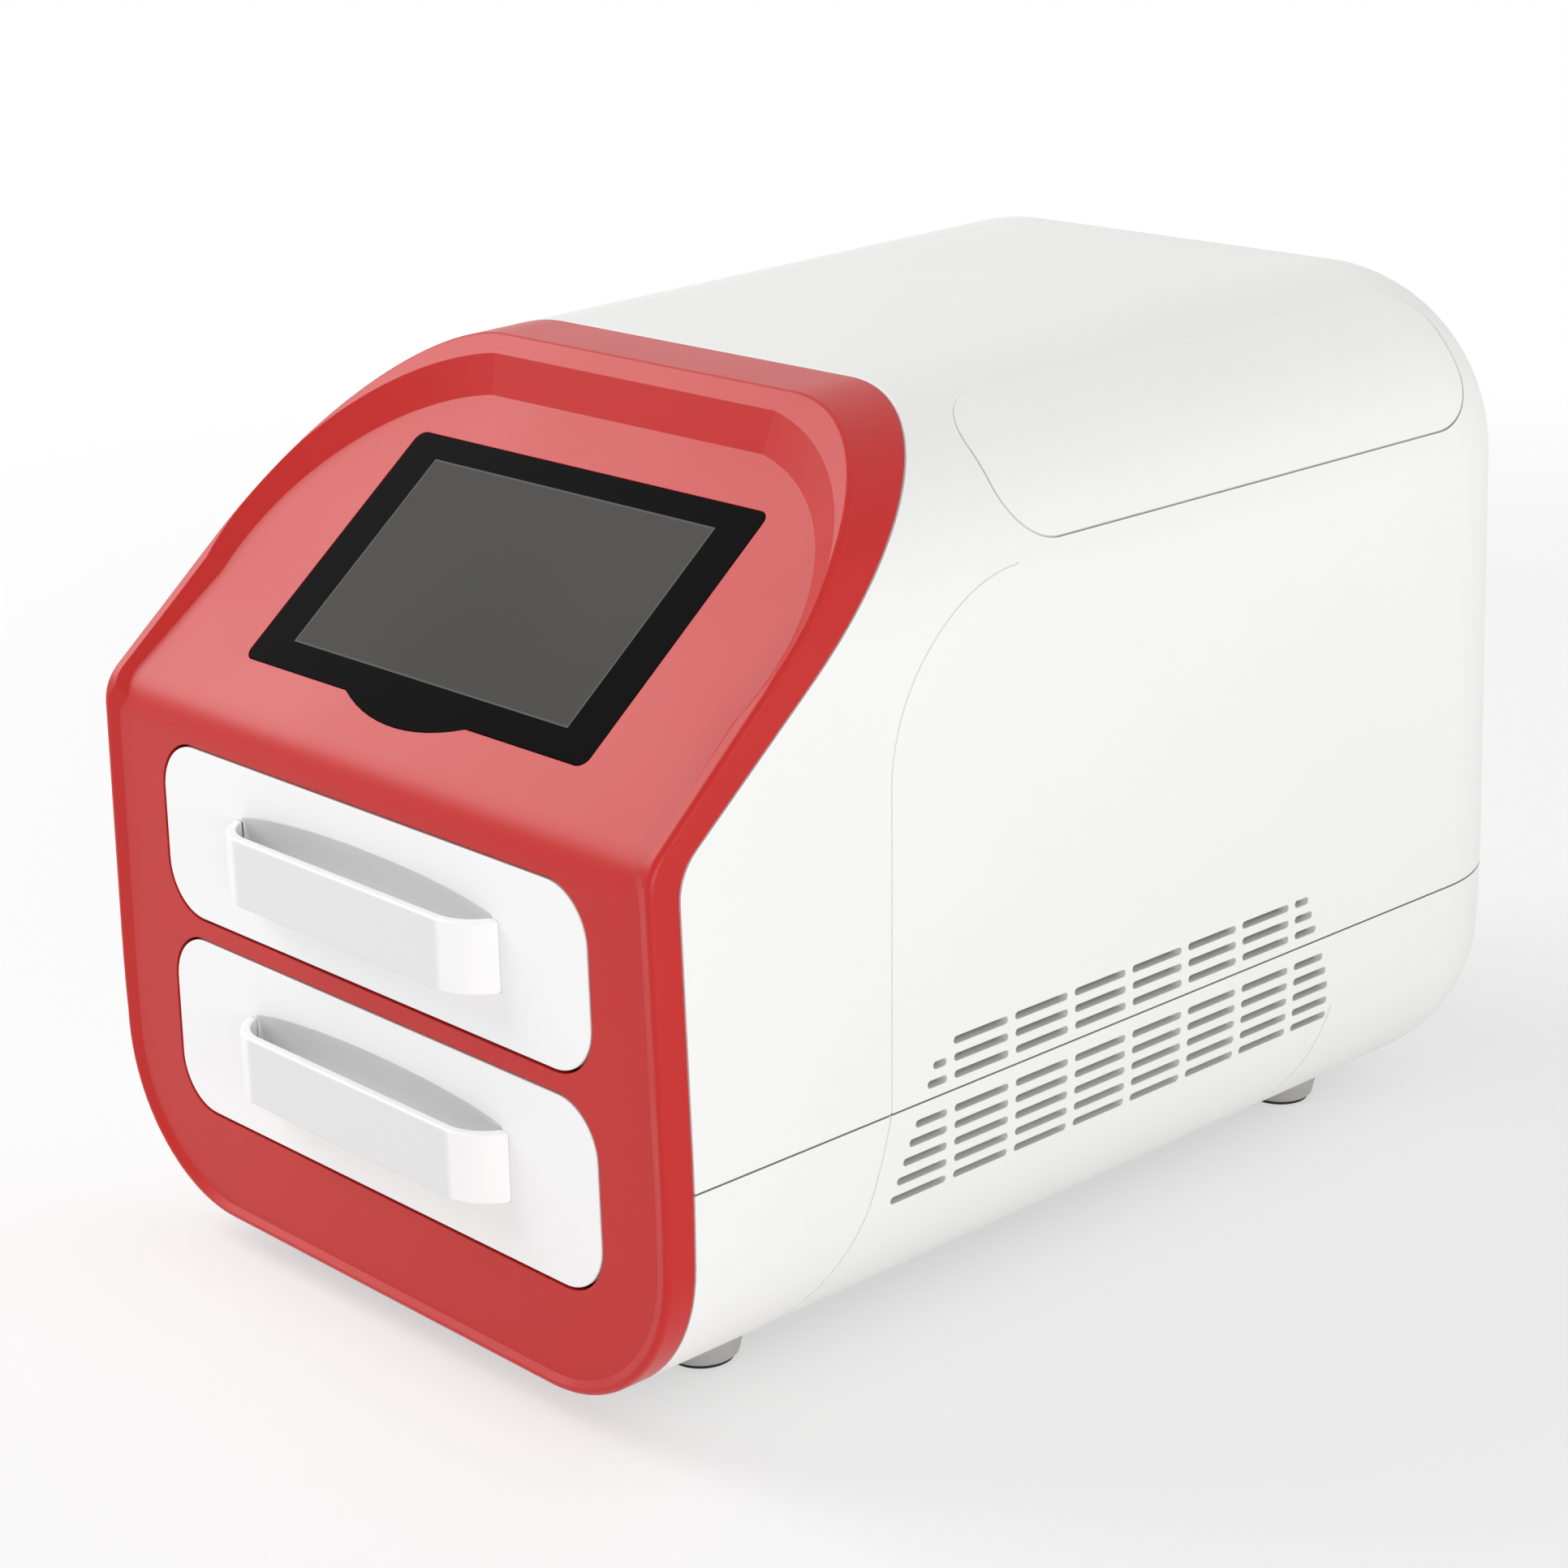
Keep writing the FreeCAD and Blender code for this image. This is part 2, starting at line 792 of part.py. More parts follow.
def side_line_band():
    """The band between the step line's two edges on the case sides, as a prism through both."""
    x = -far / 2
    foot = Vector(x, line_front, seam_height)
    high = Vector(x, line_front + line_front_lean, line_top - line_top_radius)
    over = Vector(x, high.y + line_top_radius, line_top)
    middle = Vector(
        x,
        over.y - line_top_radius * math.sin(math.pi / 4),
        high.z + line_top_radius * math.sin(math.pi / 4),
    )
    rear_top = Vector(x, line_rear, line_top)
    rear_low = Vector(x, line_rear, seam_height - line_toe_rear)
    low = case_bottom - lip
    rear_toe = Vector(x, line_rear - line_toe_rear - line_toe_front / 2, low)
    rear_bend = Vector(x, line_rear - line_toe_rear / 2, seam_height - line_bend_drop)
    front_toe = Vector(x, line_front - line_toe_front - line_toe_rear, low)
    front_bend = Vector(x, line_front - line_toe_front / 3, seam_height - line_toe_front)
    edges = [
        line(foot, high),
        arc(high, middle, over),
        line(over, rear_top),
        line(rear_top, rear_low),
        arc(rear_low, rear_bend, rear_toe),
        line(rear_toe, front_toe),
        arc(front_toe, front_bend, foot),
    ]
    face = Part.Face(Part.Wire(edges))
    wide = face.makeOffset2D(line_width)
    return wide.cut(face).extrude(Vector(far, 0, 0))


def side_line_tool():
    skin = case_solid(0).cut(case_solid(line_depth))
    front_part = box((-far, 0, 0), (far, panel_front, line_top + line_width + lip))
    low_part = box((-far, panel_front, 0), (far, line_rear + lip, seam_height - 2 * line_toe_rear))
    return side_line_band().common(skin).common(fuse([front_part, low_part]))


def case_boss(y, z_from, z_to):
    """Bosses beside the side walls for the screws that join cover and base, with a web out to
    the wall."""
    boss = rod(boss_radius, (case_boss_across, y, z_from), Z_AXIS, z_to - z_from)
    web = box(
        (case_boss_across, y - boss_radius / 2, z_from),
        (case_half_width, y + boss_radius / 2, z_to),
    )
    return both_sides(fuse([boss, web]))


def joint_groove():
    """Shadow groove round the case, just behind the bezel."""
    skin = case_solid(0).cut(case_solid(groove_depth))
    back = front_region(
        band_depth + groove_width, -band_drop - groove_width, slope_deg, band_knee_radius
    )
    return skin.common(back)


def seam_groove():
    """Shadow groove round the base's top edge."""
    skin = case_solid(0).cut(case_solid(groove_depth))
    slab = box((-far / 2, -far / 2, seam_height - groove_width), (far / 2, far, seam_height + lip))
    return skin.common(slab)


def case_half(z_from, z_to):
    """The hollow case behind the bezel, between two heights."""
    slab = box((-far / 2, -far / 2, z_from), (far / 2, far, z_to))
    hollow = case_solid(0).common(slab).cut(band_back()).cut(case_solid(case_wall))
    return hollow.cut(joint_groove())


def build_base_shell():
    shell = case_half(-lip, seam_height)
    extras = []
    for x, y in FEET.values():
        extras.append(rod(post_radius, (x, y, case_bottom), Z_AXIS, chassis_low - case_bottom))
    for y in (case_boss_front, case_boss_rear):
        extras += case_boss(y, seam_height - case_boss_reach, seam_height - boss_relief)
    extras = [e.common(case_solid(line_depth + lip)) for e in extras]
    shell = shell.multiFuse(extras)
    cuts = vent_slots() + [side_line_tool(), seam_groove()]
    for x, y in FEET.values():
        cuts.append(rod(screw_radius, (x, y, -lip), Z_AXIS, case_bottom + screw_length + lip))
        cuts.append(rod(screw_radius, (x, y, chassis_low - screw_length + lip), Z_AXIS, screw_length))
    for y in (case_boss_front, case_boss_rear):
        start = (case_boss_across, y, seam_height - case_boss_reach - lip)
        cuts += both_sides(rod(screw_radius, start, Z_AXIS, far))
    return shell.cut(cuts)


def rear_opening(grow, y_from, y_to):
    return rounded_block(
        (-rear_panel_half_width - grow, y_from, rear_panel_low - grow),
        (rear_panel_half_width + grow, y_to, rear_panel_high + grow),
        rear_panel_corner + max(grow, 1 - rear_panel_corner),
        Y_AXIS,
    )


def build_upper_shell():
    shell = case_half(seam_height, far)
    ledge_back = rear_panel_face - rear_panel_sheet
    frame = rear_opening(rear_panel_fit + rear_frame_wall, ledge_back - case_wall, case_depth - lip)
    extras = [frame]
    for y in (case_boss_front, case_boss_rear):
        extras += case_boss(y, seam_height + boss_relief, seam_height + case_boss_reach)
    extras = [e.common(case_solid(line_depth + lip)) for e in extras]
    shell = shell.multiFuse(extras)
    cuts = [
        rear_opening(rear_panel_fit, ledge_back, far),
        rear_opening(-rear_ledge, ledge_back - case_wall - lip, far),
    ]
    for x, z in panel_holes():
        cuts.append(rod(screw_radius, (x, ledge_back - case_wall - lip, z), Y_AXIS, case_wall + 2 * lip))
    pocket_skin = case_solid(0).cut(case_solid(panel_thickness))
    cuts += [pocket_skin.common(panel_region(panel_gap, side)) for side in (1, -1)]
    cuts += vent_slots() + [side_line_tool()]
    for y in (case_boss_front, case_boss_rear):
        start = (case_boss_across, y, seam_height - lip)
        cuts += both_sides(rod(screw_radius, start, Z_AXIS, screw_length + lip))
    return shell.cut(cuts)


def build_shoulder_panel(side):
    skin = case_solid(0).cut(case_solid(panel_thickness))
    return skin.common(panel_region(0, side))


def build_screen_glass():
    return on_slope(glass_outline_prism(0, -glass_thickness, 0))


def build_display():
    top = -glass_thickness - display_gap
    module = box(
        (-display_half_width, display_low, top - display_thickness),
        (display_half_width, display_high, top),
    )
    return on_slope(module)


def build_display_board():
    top, margin = display_board_top(), panel_board_margin / 2
    board = box(
        (-glass_half_width - margin, glass_low - margin, top - board_thickness),
        (glass_half_width + margin, glass_high + margin, top),
    )
    holes = panel_studs(screw_radius, top - 2 * board_thickness, top + lip)
    spacer = box(
        (-display_half_width / 2, display_low + 2 * panel_board_margin, top),
        (display_half_width / 2, display_high - 2 * panel_board_margin, display_back()),
    )
    return on_slope(fuse([board.cut(holes), spacer]))


def screw(centre, axis, length):
    """A pan-head screw. centre is under its head and axis points from the tip to the head."""
    middle = Vector(*centre)
    shank = Part.makeCylinder(screw_radius, length, middle - axis * length, axis)
    head = Part.makeCylinder(screw_head_radius, screw_head_height, middle, axis)
    return fuse([shank, head])


def build_display_screws():
    under = display_board_top() - board_thickness
    across = glass_half_width - panel_stud_radius
    screws = []
    for x in (-across, across):
        for y in (glass_low + panel_stud_radius, glass_high - panel_stud_radius):
            small = rod(screw_radius / 2, (x, y, under), Z_AXIS, board_thickness + panel_stud_radius)
            head = rod(screw_radius, (x, y, under - screw_radius), Z_AXIS, screw_radius)
            screws.append(on_slope(fuse([small, head])))
    return screws


def handle_base(low):
    """Height of the handle's underside; the lower drawer's handle sits a little higher."""
    return low + handle_low + (lower_handle_raise if low < upper_front_low else 0)


def handle_prism(inset, z_from, z_to):
    """The cup handle's plan outline, moved inwards by inset, as a prism."""
    r = handle_corner - inset
    y_front = -handle_reach + inset
    centre_y = -handle_reach + handle_corner
    reach = math.sqrt(handle_corner ** 2 - centre_y ** 2)
    centre_x = handle_half_length - reach
    end_x = centre_x + math.sqrt(r ** 2 - centre_y ** 2)
    turn_end = math.atan2(centre_y, end_x - centre_x)
    turn_mid = (turn_end + math.pi / 2) / 2
    mid = Vector(centre_x + r * math.cos(turn_mid), centre_y - r * math.sin(turn_mid), z_from)
    points = [Vector(centre_x, y_front, z_from), mid, Vector(end_x, 0, z_from)]
    mirrored = [Vector(-p.x, p.y, p.z) for p in points]
    edges = [
        line(mirrored[0], points[0]),
        arc(*points),
        line(points[2], mirrored[2]),
        arc(mirrored[2], mirrored[1], mirrored[0]),
    ]
    return Part.Face(Part.Wire(edges)).extrude(Vector(0, 0, z_to - z_from))


def build_handle(low):
    base = handle_base(low)
    top = base + handle_height
    outer = handle_prism(0, base, top)
    edges = [
        e
        for e in outer.Edges
        if abs(e.tangentAt(e.FirstParameter).z) < 0.01 and min(v.Y for v in e.Vertexes) < -lip
    ]
    outer = outer.makeFillet(handle_edge, edges)
    inner = handle_prism(handle_wall, base + handle_floor, top + lip)
    return outer.cut(inner)


def pocket_torus(low, grow):
    """The finger pocket's scoop: part of a ring, deepest in the middle."""
    z_low = handle_base(low) + handle_floor
    z_high = handle_base(low) + handle_height + pocket_rise
    half = (z_high - z_low) / 2
    minor = (half ** 2 + pocket_depth ** 2) / (2 * pocket_depth)
    fall = pocket_depth - pocket_end_depth
    outer = (handle_half_length ** 2 + fall ** 2) / (2 * fall)
    ring = Part.makeTorus(outer - minor, minor + grow)
    ring.translate(Vector(0, pocket_depth - outer, (z_low + z_high) / 2))
    return ring


def pocket_limit(low, grow):
    half = handle_half_length - handle_wall + grow
    return box(
        (-half, -lip, low),
        (half, pocket_depth + pocket_wall + lip, handle_base(low) + handle_height + 2 * pocket_rise),
    )


def build_drawer_front(low, height):
    plate = front_plate_prism(low, height, 0, 0, front_thickness)
    behind = box((-far, lip, 0), (far, far, far))
    cup = pocket_torus(low, pocket_wall).common(pocket_limit(low, pocket_wall)).common(behind)
    return plate.fuse(cup).cut(pocket_torus(low, 0).common(pocket_limit(low, 0)))


def build_carrier(low):
    """Tray of folded sheet behind the drawer front: floor, side walls and a front flange."""
    z = low + carrier_lift
    end, half = cassette_end, carrier_half_width
    floor = box((-half, carrier_start, z), (half, end, z + carrier_sheet))
    side = box((half - carrier_sheet, carrier_start, z), (half, end, z + carrier_wall_height))
    flange = box(
        (-half, carrier_start, z),
        (half, carrier_start + carrier_sheet, handle_base(low) - pocket_wall),
    )
    stop = box(
        (-cassette_half_width, end - carrier_sheet, z),
        (-cassette_half_width + 2 * cassette_wall, end, z + carrier_sheet),
    )
    return fuse([floor, flange, stop] + both_sides(side))


def cassette_floor_height(low):
    return low + carrier_lift + carrier_sheet


def cassette_box(low, inset, z_from, z_to):
    return rounded_block(
        (-cassette_half_width + inset, cassette_start + inset, z_from),
        (cassette_half_width - inset, cassette_end - inset, z_to),
        cassette_wall - min(inset, cassette_wall / 2),
        Z_AXIS,
    )


def build_cassette_base(low):
    z = cassette_floor_height(low)
    outer = cassette_box(low, 0, z, z + cassette_height)
    inner = cassette_box(low, cassette_wall, z + cassette_floor, z + cassette_height + lip)
    start, height = cassette_end - cassette_wall - lip, z + pin_height
    holes = [
        rod(pin_radius, (side * pin_spread, start, height), Y_AXIS, 2 * cassette_wall)
        for side in (-1, 1)
    ]
    return outer.cut([inner] + holes)


def electrode(low, z):
    margin = cassette_wall + plate_margin
    return box(
        (-cassette_half_width + margin, cassette_start + margin, z),
        (cassette_half_width - margin, cassette_end - margin, z + plate_thickness),
    )


def build_anode(low):
    return electrode(low, cassette_floor_height(low) + cassette_floor)


def cathode_height(low):
    return cassette_floor_height(low) + cassette_floor + plate_thickness + gel_gap


def build_cathode(low):
    return electrode(low, cathode_height(low))


def lid_height(low):
    return cassette_floor_height(low) + cassette_height


def build_lid(low):
    z = lid_height(low)
    plate = cassette_box(low, 0, z, z + lid_thickness)
    plug = cassette_box(low, cassette_wall + lid_plug_fit, cathode_height(low) + plate_thickness, z)
    middle = cassette_start + cassette_length / 2
    bore = rod(knob_shaft_radius + shaft_fit, (0, middle, z), Z_AXIS, 2 * lid_thickness)
    return fuse([plate, plug]).cut(bore)


def build_knob(low):
    """Locking knob: a disc with a grip bar above and a short shaft down into the lid."""
    z = lid_height(low) + lid_thickness
    middle = cassette_start + cassette_length / 2
    shaft = rod(knob_shaft_radius, (0, middle, z - lid_thickness + knob_lift), Z_AXIS, lid_thickness)
    disc = rod(knob_radius, (0, middle, z + knob_lift), Z_AXIS, knob_height)
    grip = box(
        (-knob_radius + 2 * lip, middle - knob_grip_width / 2, z + knob_height),
        (knob_radius - 2 * lip, middle + knob_grip_width / 2, z + knob_height + knob_grip_height),
    )
    return fuse([shaft, disc, grip])


def build_contact_pins(low):
    """Two pins through the cassette's rear wall, with flat heads inside."""
    z = cassette_floor_height(low) + pin_height
    start = cassette_end - cassette_wall
    return group([
        rod(pin_radius, (side * pin_spread, start, z), Y_AXIS, cassette_wall + pin_length)
        for side in (-1, 1)
    ])


def build_contact_block(low):
    z = cassette_floor_height(low) + pin_height
    half = contact_block_height / 2
    block = box(
        (-contact_block_half_width, cassette_end + slide_fit + lip, z - half),
        (contact_block_half_width, bay_end, z + half),
    )
    bores = [
        rod(pin_radius + pin_fit, (side * pin_spread, cassette_end, z), Y_AXIS, pin_length + lip)
        for side in (-1, 1)
    ]
    return block.cut(bores)


def build_runners(low):
    z = low + runner_low
    start, inner = carrier_start + carrier_sheet, carrier_half_width
    block = box(
        (inner, start, z),
        (inner + runner_thickness, start + runner_length, z + runner_height),
    )
    return group(both_sides(block))


def build_rails(low):
    """Channel rails on the chassis sides, each holding a runner above and below."""
    z0 = low + runner_low - slide_fit
    z1 = low + runner_low + runner_height + slide_fit
    x0 = carrier_half_width + 2 * slide_fit + lip
    x1 = chassis_half_width - chassis_sheet
    outer = box((x0, rail_start, z0 - rail_sheet), (x1, rail_start + rail_length, z1 + rail_sheet))
    inner = box(
        (x0 - lip, rail_start - lip, z0),
        (carrier_half_width + runner_thickness + slide_fit, rail_start + rail_length + lip, z1),
    )
    return group(both_sides(outer.cut(inner)))


def build_chassis():
    t, half = chassis_sheet, chassis_half_width
    floor = box((-half, chassis_start, chassis_low), (half, chassis_end, chassis_low + t))
    side = box((half - t, chassis_start, chassis_low), (half, chassis_end, deck_height))
    tab = box((half - t, chassis_start, chassis_low), (half + front_tab, chassis_start + t, deck_height))
    opening = box(
        (half - 2 * t, bay_end + window_front_gap, chassis_low + window_in_side),
        (half + t, chassis_end - window_in_side / 2, deck_height - window_in_side),
    )
    body = fuse([floor] + both_sides(side) + both_sides(tab.common(case_solid(case_wall + lip))))
    cuts = both_sides(opening)
    for x, y in FEET.values():
        cuts.append(rod(screw_radius, (x, y, chassis_low - lip), Z_AXIS, 2 * t + lip))
    for height in bezel_boss_heights:
        start = (bezel_boss_across, chassis_start - lip, height)
        cuts += both_sides(rod(screw_radius, start, Y_AXIS, 3 * t))
    return body.cut(cuts)


def build_bay_divider():
    z = (lower_front_low + lower_front_height + upper_front_low) / 2
    half = chassis_half_width - chassis_sheet
    return box(
        (-half, chassis_start, z - chassis_sheet / 2),
        (half, bay_end, z + chassis_sheet / 2),
    )


def build_contact_wall():
    half = carrier_half_width - carrier_sheet
    return box(
        (-half, bay_end, chassis_low + chassis_sheet),
        (half, bay_end + chassis_sheet, deck_height),
    )


def board_stud_places():
    inset = 2 * stud_radius
    y0, y1 = main_board_start + inset, main_board_start + main_board_length - inset
    x = main_board_half_width - inset
    return [(side * x, y) for side in (-1, 1) for y in (y0, (y0 + y1) / 2, y1)]


def build_deck():
    deck = box(
        (-chassis_half_width, chassis_start, deck_height),
        (chassis_half_width, chassis_end, deck_height + chassis_sheet),
    )
    places = board_stud_places()
    height = chassis_sheet + main_board_lift
    studs = [rod(stud_radius, (x, y, deck_height), Z_AXIS, height) for x, y in places]
    holes = [rod(screw_radius, (x, y, deck_height - lip), Z_AXIS, 2 * height) for x, y in places]
    return fuse([deck] + studs).cut(holes)


def board_top():
    return deck_height + chassis_sheet + main_board_lift + board_thickness


def build_main_board():
    low = board_top() - board_thickness
    board = box(
        (-main_board_half_width, main_board_start, low),
        (main_board_half_width, main_board_start + main_board_length, board_top()),
    )
    holes = [rod(screw_radius, (x, y, low - lip), Z_AXIS, 4 * lip) for x, y in board_stud_places()]
    return board.cut(holes)


def build_board_screws():
    screws = [screw((x, y, board_top()), Z_AXIS, screw_length) for x, y in board_stud_places()]
    return group(screws + build_display_screws())


def on_board(across, share, size):
    """A block on the main board."""
    y, z = main_board_start + share * main_board_length, board_top()
    return box((across, y, z), (across + size[0], y + size[1], z + size[2]))


def can_on_board(across, share, radius, height):
    y = main_board_start + share * main_board_length
    return rod(radius, (across, y, board_top()), Z_AXIS, height)


def build_board_parts():
    """Capacitors, a transformer, relays and sockets standing on the main board."""
    parts = [
        can_on_board(
            capacitor_across + capacitor_pitch * i, capacitor_share, capacitor_radius, capacitor_height
        )
        for i in range(3)
    ]
    parts += [
        can_on_board(
            small_capacitor_across + small_capacitor_pitch * i,
            small_capacitor_share,
            small_capacitor_radius,
            small_capacitor_height,
        )
        for i in range(5)
    ]
    parts += [on_board(relay_across + relay_pitch * i, relay_share, relay_size) for i in range(3)]
    parts += [
        on_board(transformer_across, transformer_share, transformer_size),
        on_board(-ribbon_socket_size[0] / 2, ribbon_socket_share, ribbon_socket_size),
        on_board(processor_across, processor_share, processor_size),
    ]
    return group(parts)


def build_heat_sink():
    x0, z = sink_across, board_top()
    y0 = main_board_start + main_board_length - sink_length - sink_rear_gap
    base = box((x0, y0, z), (x0 + sink_width, y0 + sink_length, z + sink_base))
    pitch = (sink_width - sink_fin_thickness) / (sink_fins - 1)
    fins = [
        box(
            (x0 + pitch * i, y0, z + sink_base),
            (x0 + pitch * i + sink_fin_thickness, y0 + sink_length, z + sink_base + sink_fin_height),
        )
        for i in range(sink_fins)
    ]
    return fuse([base] + fins)


def build_power_supply():
    z = chassis_low + chassis_sheet
    top = z + supply_height
    case = box(
        (-supply_half_width, supply_start, z),
        (supply_half_width, supply_start + supply_length, top),
    )
    half = supply_half_width - supply_slot_inset
    run = supply_length - 2 * supply_slot_margin - supply_slot_width
    slots = []
    for i in range(supply_slots):
        y = supply_start + supply_slot_margin + run * i / (supply_slots - 1)
        slots.append(box((-half, y, top - supply_wall), (half, y + supply_slot_width, top + lip)))
    return case.cut(slots)


def ribbon_path():
    """Middle line of the flat lead from the display board down to the main board."""
    angle = slope
    start_up = (display_low + display_high) / 2
    start_in = display_board_top() - board_thickness
    y = start_up * math.cos(angle) - start_in * math.sin(angle)
    z = knee_height + start_up * math.sin(angle) + start_in * math.cos(angle)
    socket = ribbon_socket_share * main_board_length + ribbon_socket_size[1] / 2
    end_y = main_board_start + socket
    end_z = board_top() + ribbon_socket_size[2]
    return [
        Vector(0, y, z),
        Vector(0, y + ribbon_straight * math.sin(angle), z - ribbon_straight * math.cos(angle)),
        Vector(0, end_y, end_z + ribbon_drop),
        Vector(0, end_y, end_z),
    ]


def rounded_path(points, radius):
    """A wire through straight runs joined by tangent arcs."""
    edges, at = [], points[0]
    for before, corner, after in zip(points, points[1:], points[2:]):
        a, b = before - corner, after - corner
        a.normalize()
        b.normalize()
        half = a.getAngle(b) / 2
        reach = radius / math.tan(half)
        first, last = corner + a * reach, corner + b * reach
        toward = a + b
        toward.normalize()
        middle = corner + toward * (radius / math.sin(half) - radius)
        edges += [line(at, first), arc(first, middle, last)]
        at = last
    edges.append(line(at, points[-1]))
    return Part.Wire(edges)


def build_ribbon():
    path = rounded_path(ribbon_path(), ribbon_bend)
    start = ribbon_path()[0]
    direction = ribbon_path()[1] - start
    direction.normalize()
    side = X_AXIS * (ribbon_width / 2)
    thick = direction.cross(X_AXIS) * (ribbon_thickness / 2)
    corners = [start + side + thick, start - side + thick, start - side - thick, start + side - thick]
    section = Part.makePolygon(corners + [corners[0]])
    return path.makePipeShell([section], True, False)


def build_rear_panel():
    y0, y1 = rear_panel_face - rear_panel_sheet, rear_panel_face
    plate = rear_opening(0, y0, y1)
    cuts = [rod(fan_bore_radius, (fan_across, y0 - lip, fan_height), Y_AXIS, far)]
    for x, z, half_x, half_z in (
        (inlet_across, inlet_height, inlet_half_width, inlet_half_height),
        (switch_across, switch_height, switch_half_width, switch_half_height),
        (port_across, port_height, port_half_width, port_half_height),
    ):
        cuts.append(box((x - half_x, y0 - lip, z - half_z), (x + half_x, far * 2, z + half_z)))
    for x, z in fan_holes() + panel_holes():
        cuts.append(rod(screw_radius, (x, y0 - lip, z), Y_AXIS, far))
    return plate.cut(cuts)


def fan_holes():
    half = fan_hole_spacing / 2
    return [(fan_across + i * half, fan_height + k * half) for i in (-1, 1) for k in (-1, 1)]


def panel_holes():
    x = rear_panel_half_width - rear_ledge / 2
    z_low = rear_panel_low + panel_screw_inset
    z_high = rear_panel_high - panel_screw_inset
    return [(i * x, z) for i in (-1, 1) for z in (z_low, z_high)]


def build_rear_screws():
    face = rear_panel_face
    short = [screw((x, face, z), Y_AXIS, rear_panel_sheet + lip) for x, z in panel_holes()]
    long = [screw((x, face + guard_wire, z), Y_AXIS, screw_length) for x, z in fan_holes()]
    return group(short + long)


def fan_back():
    return rear_panel_face - rear_panel_sheet - fan_depth


def build_fan_frame():
    half = fan_size / 2
    y0, y1 = fan_back(), fan_back() + fan_depth
    frame = rounded_block(
        (fan_across - half, y0, fan_height - half),
        (fan_across + half, y1, fan_height + half),
        fan_corner,
        Y_AXIS,
    )
    bore = rod(fan_bore_radius, (fan_across, y0 - lip, fan_height), Y_AXIS, fan_depth + 2 * lip)
    frame = frame.cut(bore)
    hub = rod(fan_hub_radius, (fan_across, y0, fan_height), Y_AXIS, fan_strut_depth)
    post = rod(fan_shaft_radius * 2, (fan_across, y0, fan_height), Y_AXIS, fan_post_depth)
    struts, turn = [], 360.0 / fan_struts
    for i in range(fan_struts):
        half, reach = fan_strut_width / 2, fan_bore_radius + lip
        strut = box(
            (fan_across, y0, fan_height - half),
            (fan_across + reach, y0 + fan_strut_depth, fan_height + half),
        )
        strut.rotate(Vector(fan_across, 0, fan_height), Y_AXIS, turn * (i + 0.5))
        struts.append(strut)
    frame = fuse([frame, hub, post] + struts)
    shaft_hole = rod(fan_shaft_radius + shaft_fit, (fan_across, y0 - lip, fan_height), Y_AXIS, far)
    through = fan_depth + 2 * lip
    screw_holes = [rod(fan_hole_radius, (x, y0 - lip, z), Y_AXIS, through) for x, z in fan_holes()]
    return frame.cut([shaft_hole] + screw_holes)


def build_fan_rotor():
    y0 = fan_back() + fan_post_depth + slide_fit
    hub = rod(fan_hub_radius, (fan_across, y0, fan_height), Y_AXIS, fan_hub_depth)
    shaft = rod(fan_shaft_radius, (fan_across, fan_back(), fan_height), Y_AXIS, fan_depth / 2)
    blades = []
    length = fan_bore_radius - fan_tip_gap
    for i in range(fan_blades):
        blade = box(
            (fan_across + fan_hub_radius / 2, y0 + lip, fan_height - fan_blade_thickness / 2),
            (fan_across + length - lip, y0 + fan_hub_depth - lip, fan_height + fan_blade_thickness / 2),
        )
        middle = Vector(fan_across, y0 + fan_hub_depth / 2, fan_height)
        blade.rotate(middle, X_AXIS, fan_blade_turn_deg)
        blade.rotate(middle, Y_AXIS, 360.0 / fan_blades * i)
        blades.append(blade)
    return fuse([hub, shaft] + blades)


def build_fan_guard():
    """Flat wire guard outside the panel: rings, two cross wires and four eyes."""
    y = rear_panel_face
    rings = []
    for i in range(guard_rings):
        r = fan_bore_radius * (i + 1) / guard_rings
        outer = rod(r, (fan_across, y, fan_height), Y_AXIS, guard_wire)
        rings.append(outer.cut(rod(r - 2 * guard_wire, (fan_across, y - lip, fan_height), Y_AXIS, far)))
    wires = []
    for turn in (45.0, 135.0):
        reach = fan_hole_spacing / math.sqrt(2)
        wire = box(
            (fan_across - reach, y, fan_height - guard_wire),
            (fan_across + reach, y + guard_wire, fan_height + guard_wire),
        )
        wire.rotate(Vector(fan_across, 0, fan_height), Y_AXIS, turn)
        wires.append(wire)
    eye = screw_head_radius + guard_eye_margin
    eyes = [rod(eye, (x, y, z), Y_AXIS, guard_wire) for x, z in fan_holes()]
    guard = fuse(rings + wires + eyes)
    return guard.cut([rod(screw_radius, (x, y - lip, z), Y_AXIS, far) for x, z in fan_holes()])


def centred_box(across, height, half_x, half_z, y_from, y_to):
    """A block on the rear panel, from its middle and half sizes."""
    return box((across - half_x, y_from, height - half_z), (across + half_x, y_to, height + half_z))


def build_inlet():
    y = rear_panel_face
    flange = rounded_block(
        (inlet_across - inlet_flange_half_width, y, inlet_height - inlet_flange_half_height),
        (inlet_across + inlet_flange_half_width, y + inlet_flange, inlet_height + inlet_flange_half_height),
        inlet_corner,
        Y_AXIS,
    )
    fit = panel_gap / 2
    half_x, half_z = inlet_half_width - fit, inlet_half_height - fit
    body = centred_box(inlet_across, inlet_height, half_x, half_z, y - inlet_depth, y)
    front = y + inlet_flange
    socket = centred_box(
        inlet_across, inlet_height, socket_half_width, socket_half_height, front - socket_depth, front + lip
    )
    return fuse([flange, body]).cut(socket)


def build_inlet_blades():
    y = rear_panel_face + inlet_flange - socket_depth
    places = [(-blade_spread, -blade_offset), (0.0, blade_offset), (blade_spread, -blade_offset)]
    return group([
        centred_box(
            inlet_across + x, inlet_height + z, blade_half_width, blade_half_height, y, y + blade_length
        )
        for x, z in places
    ])


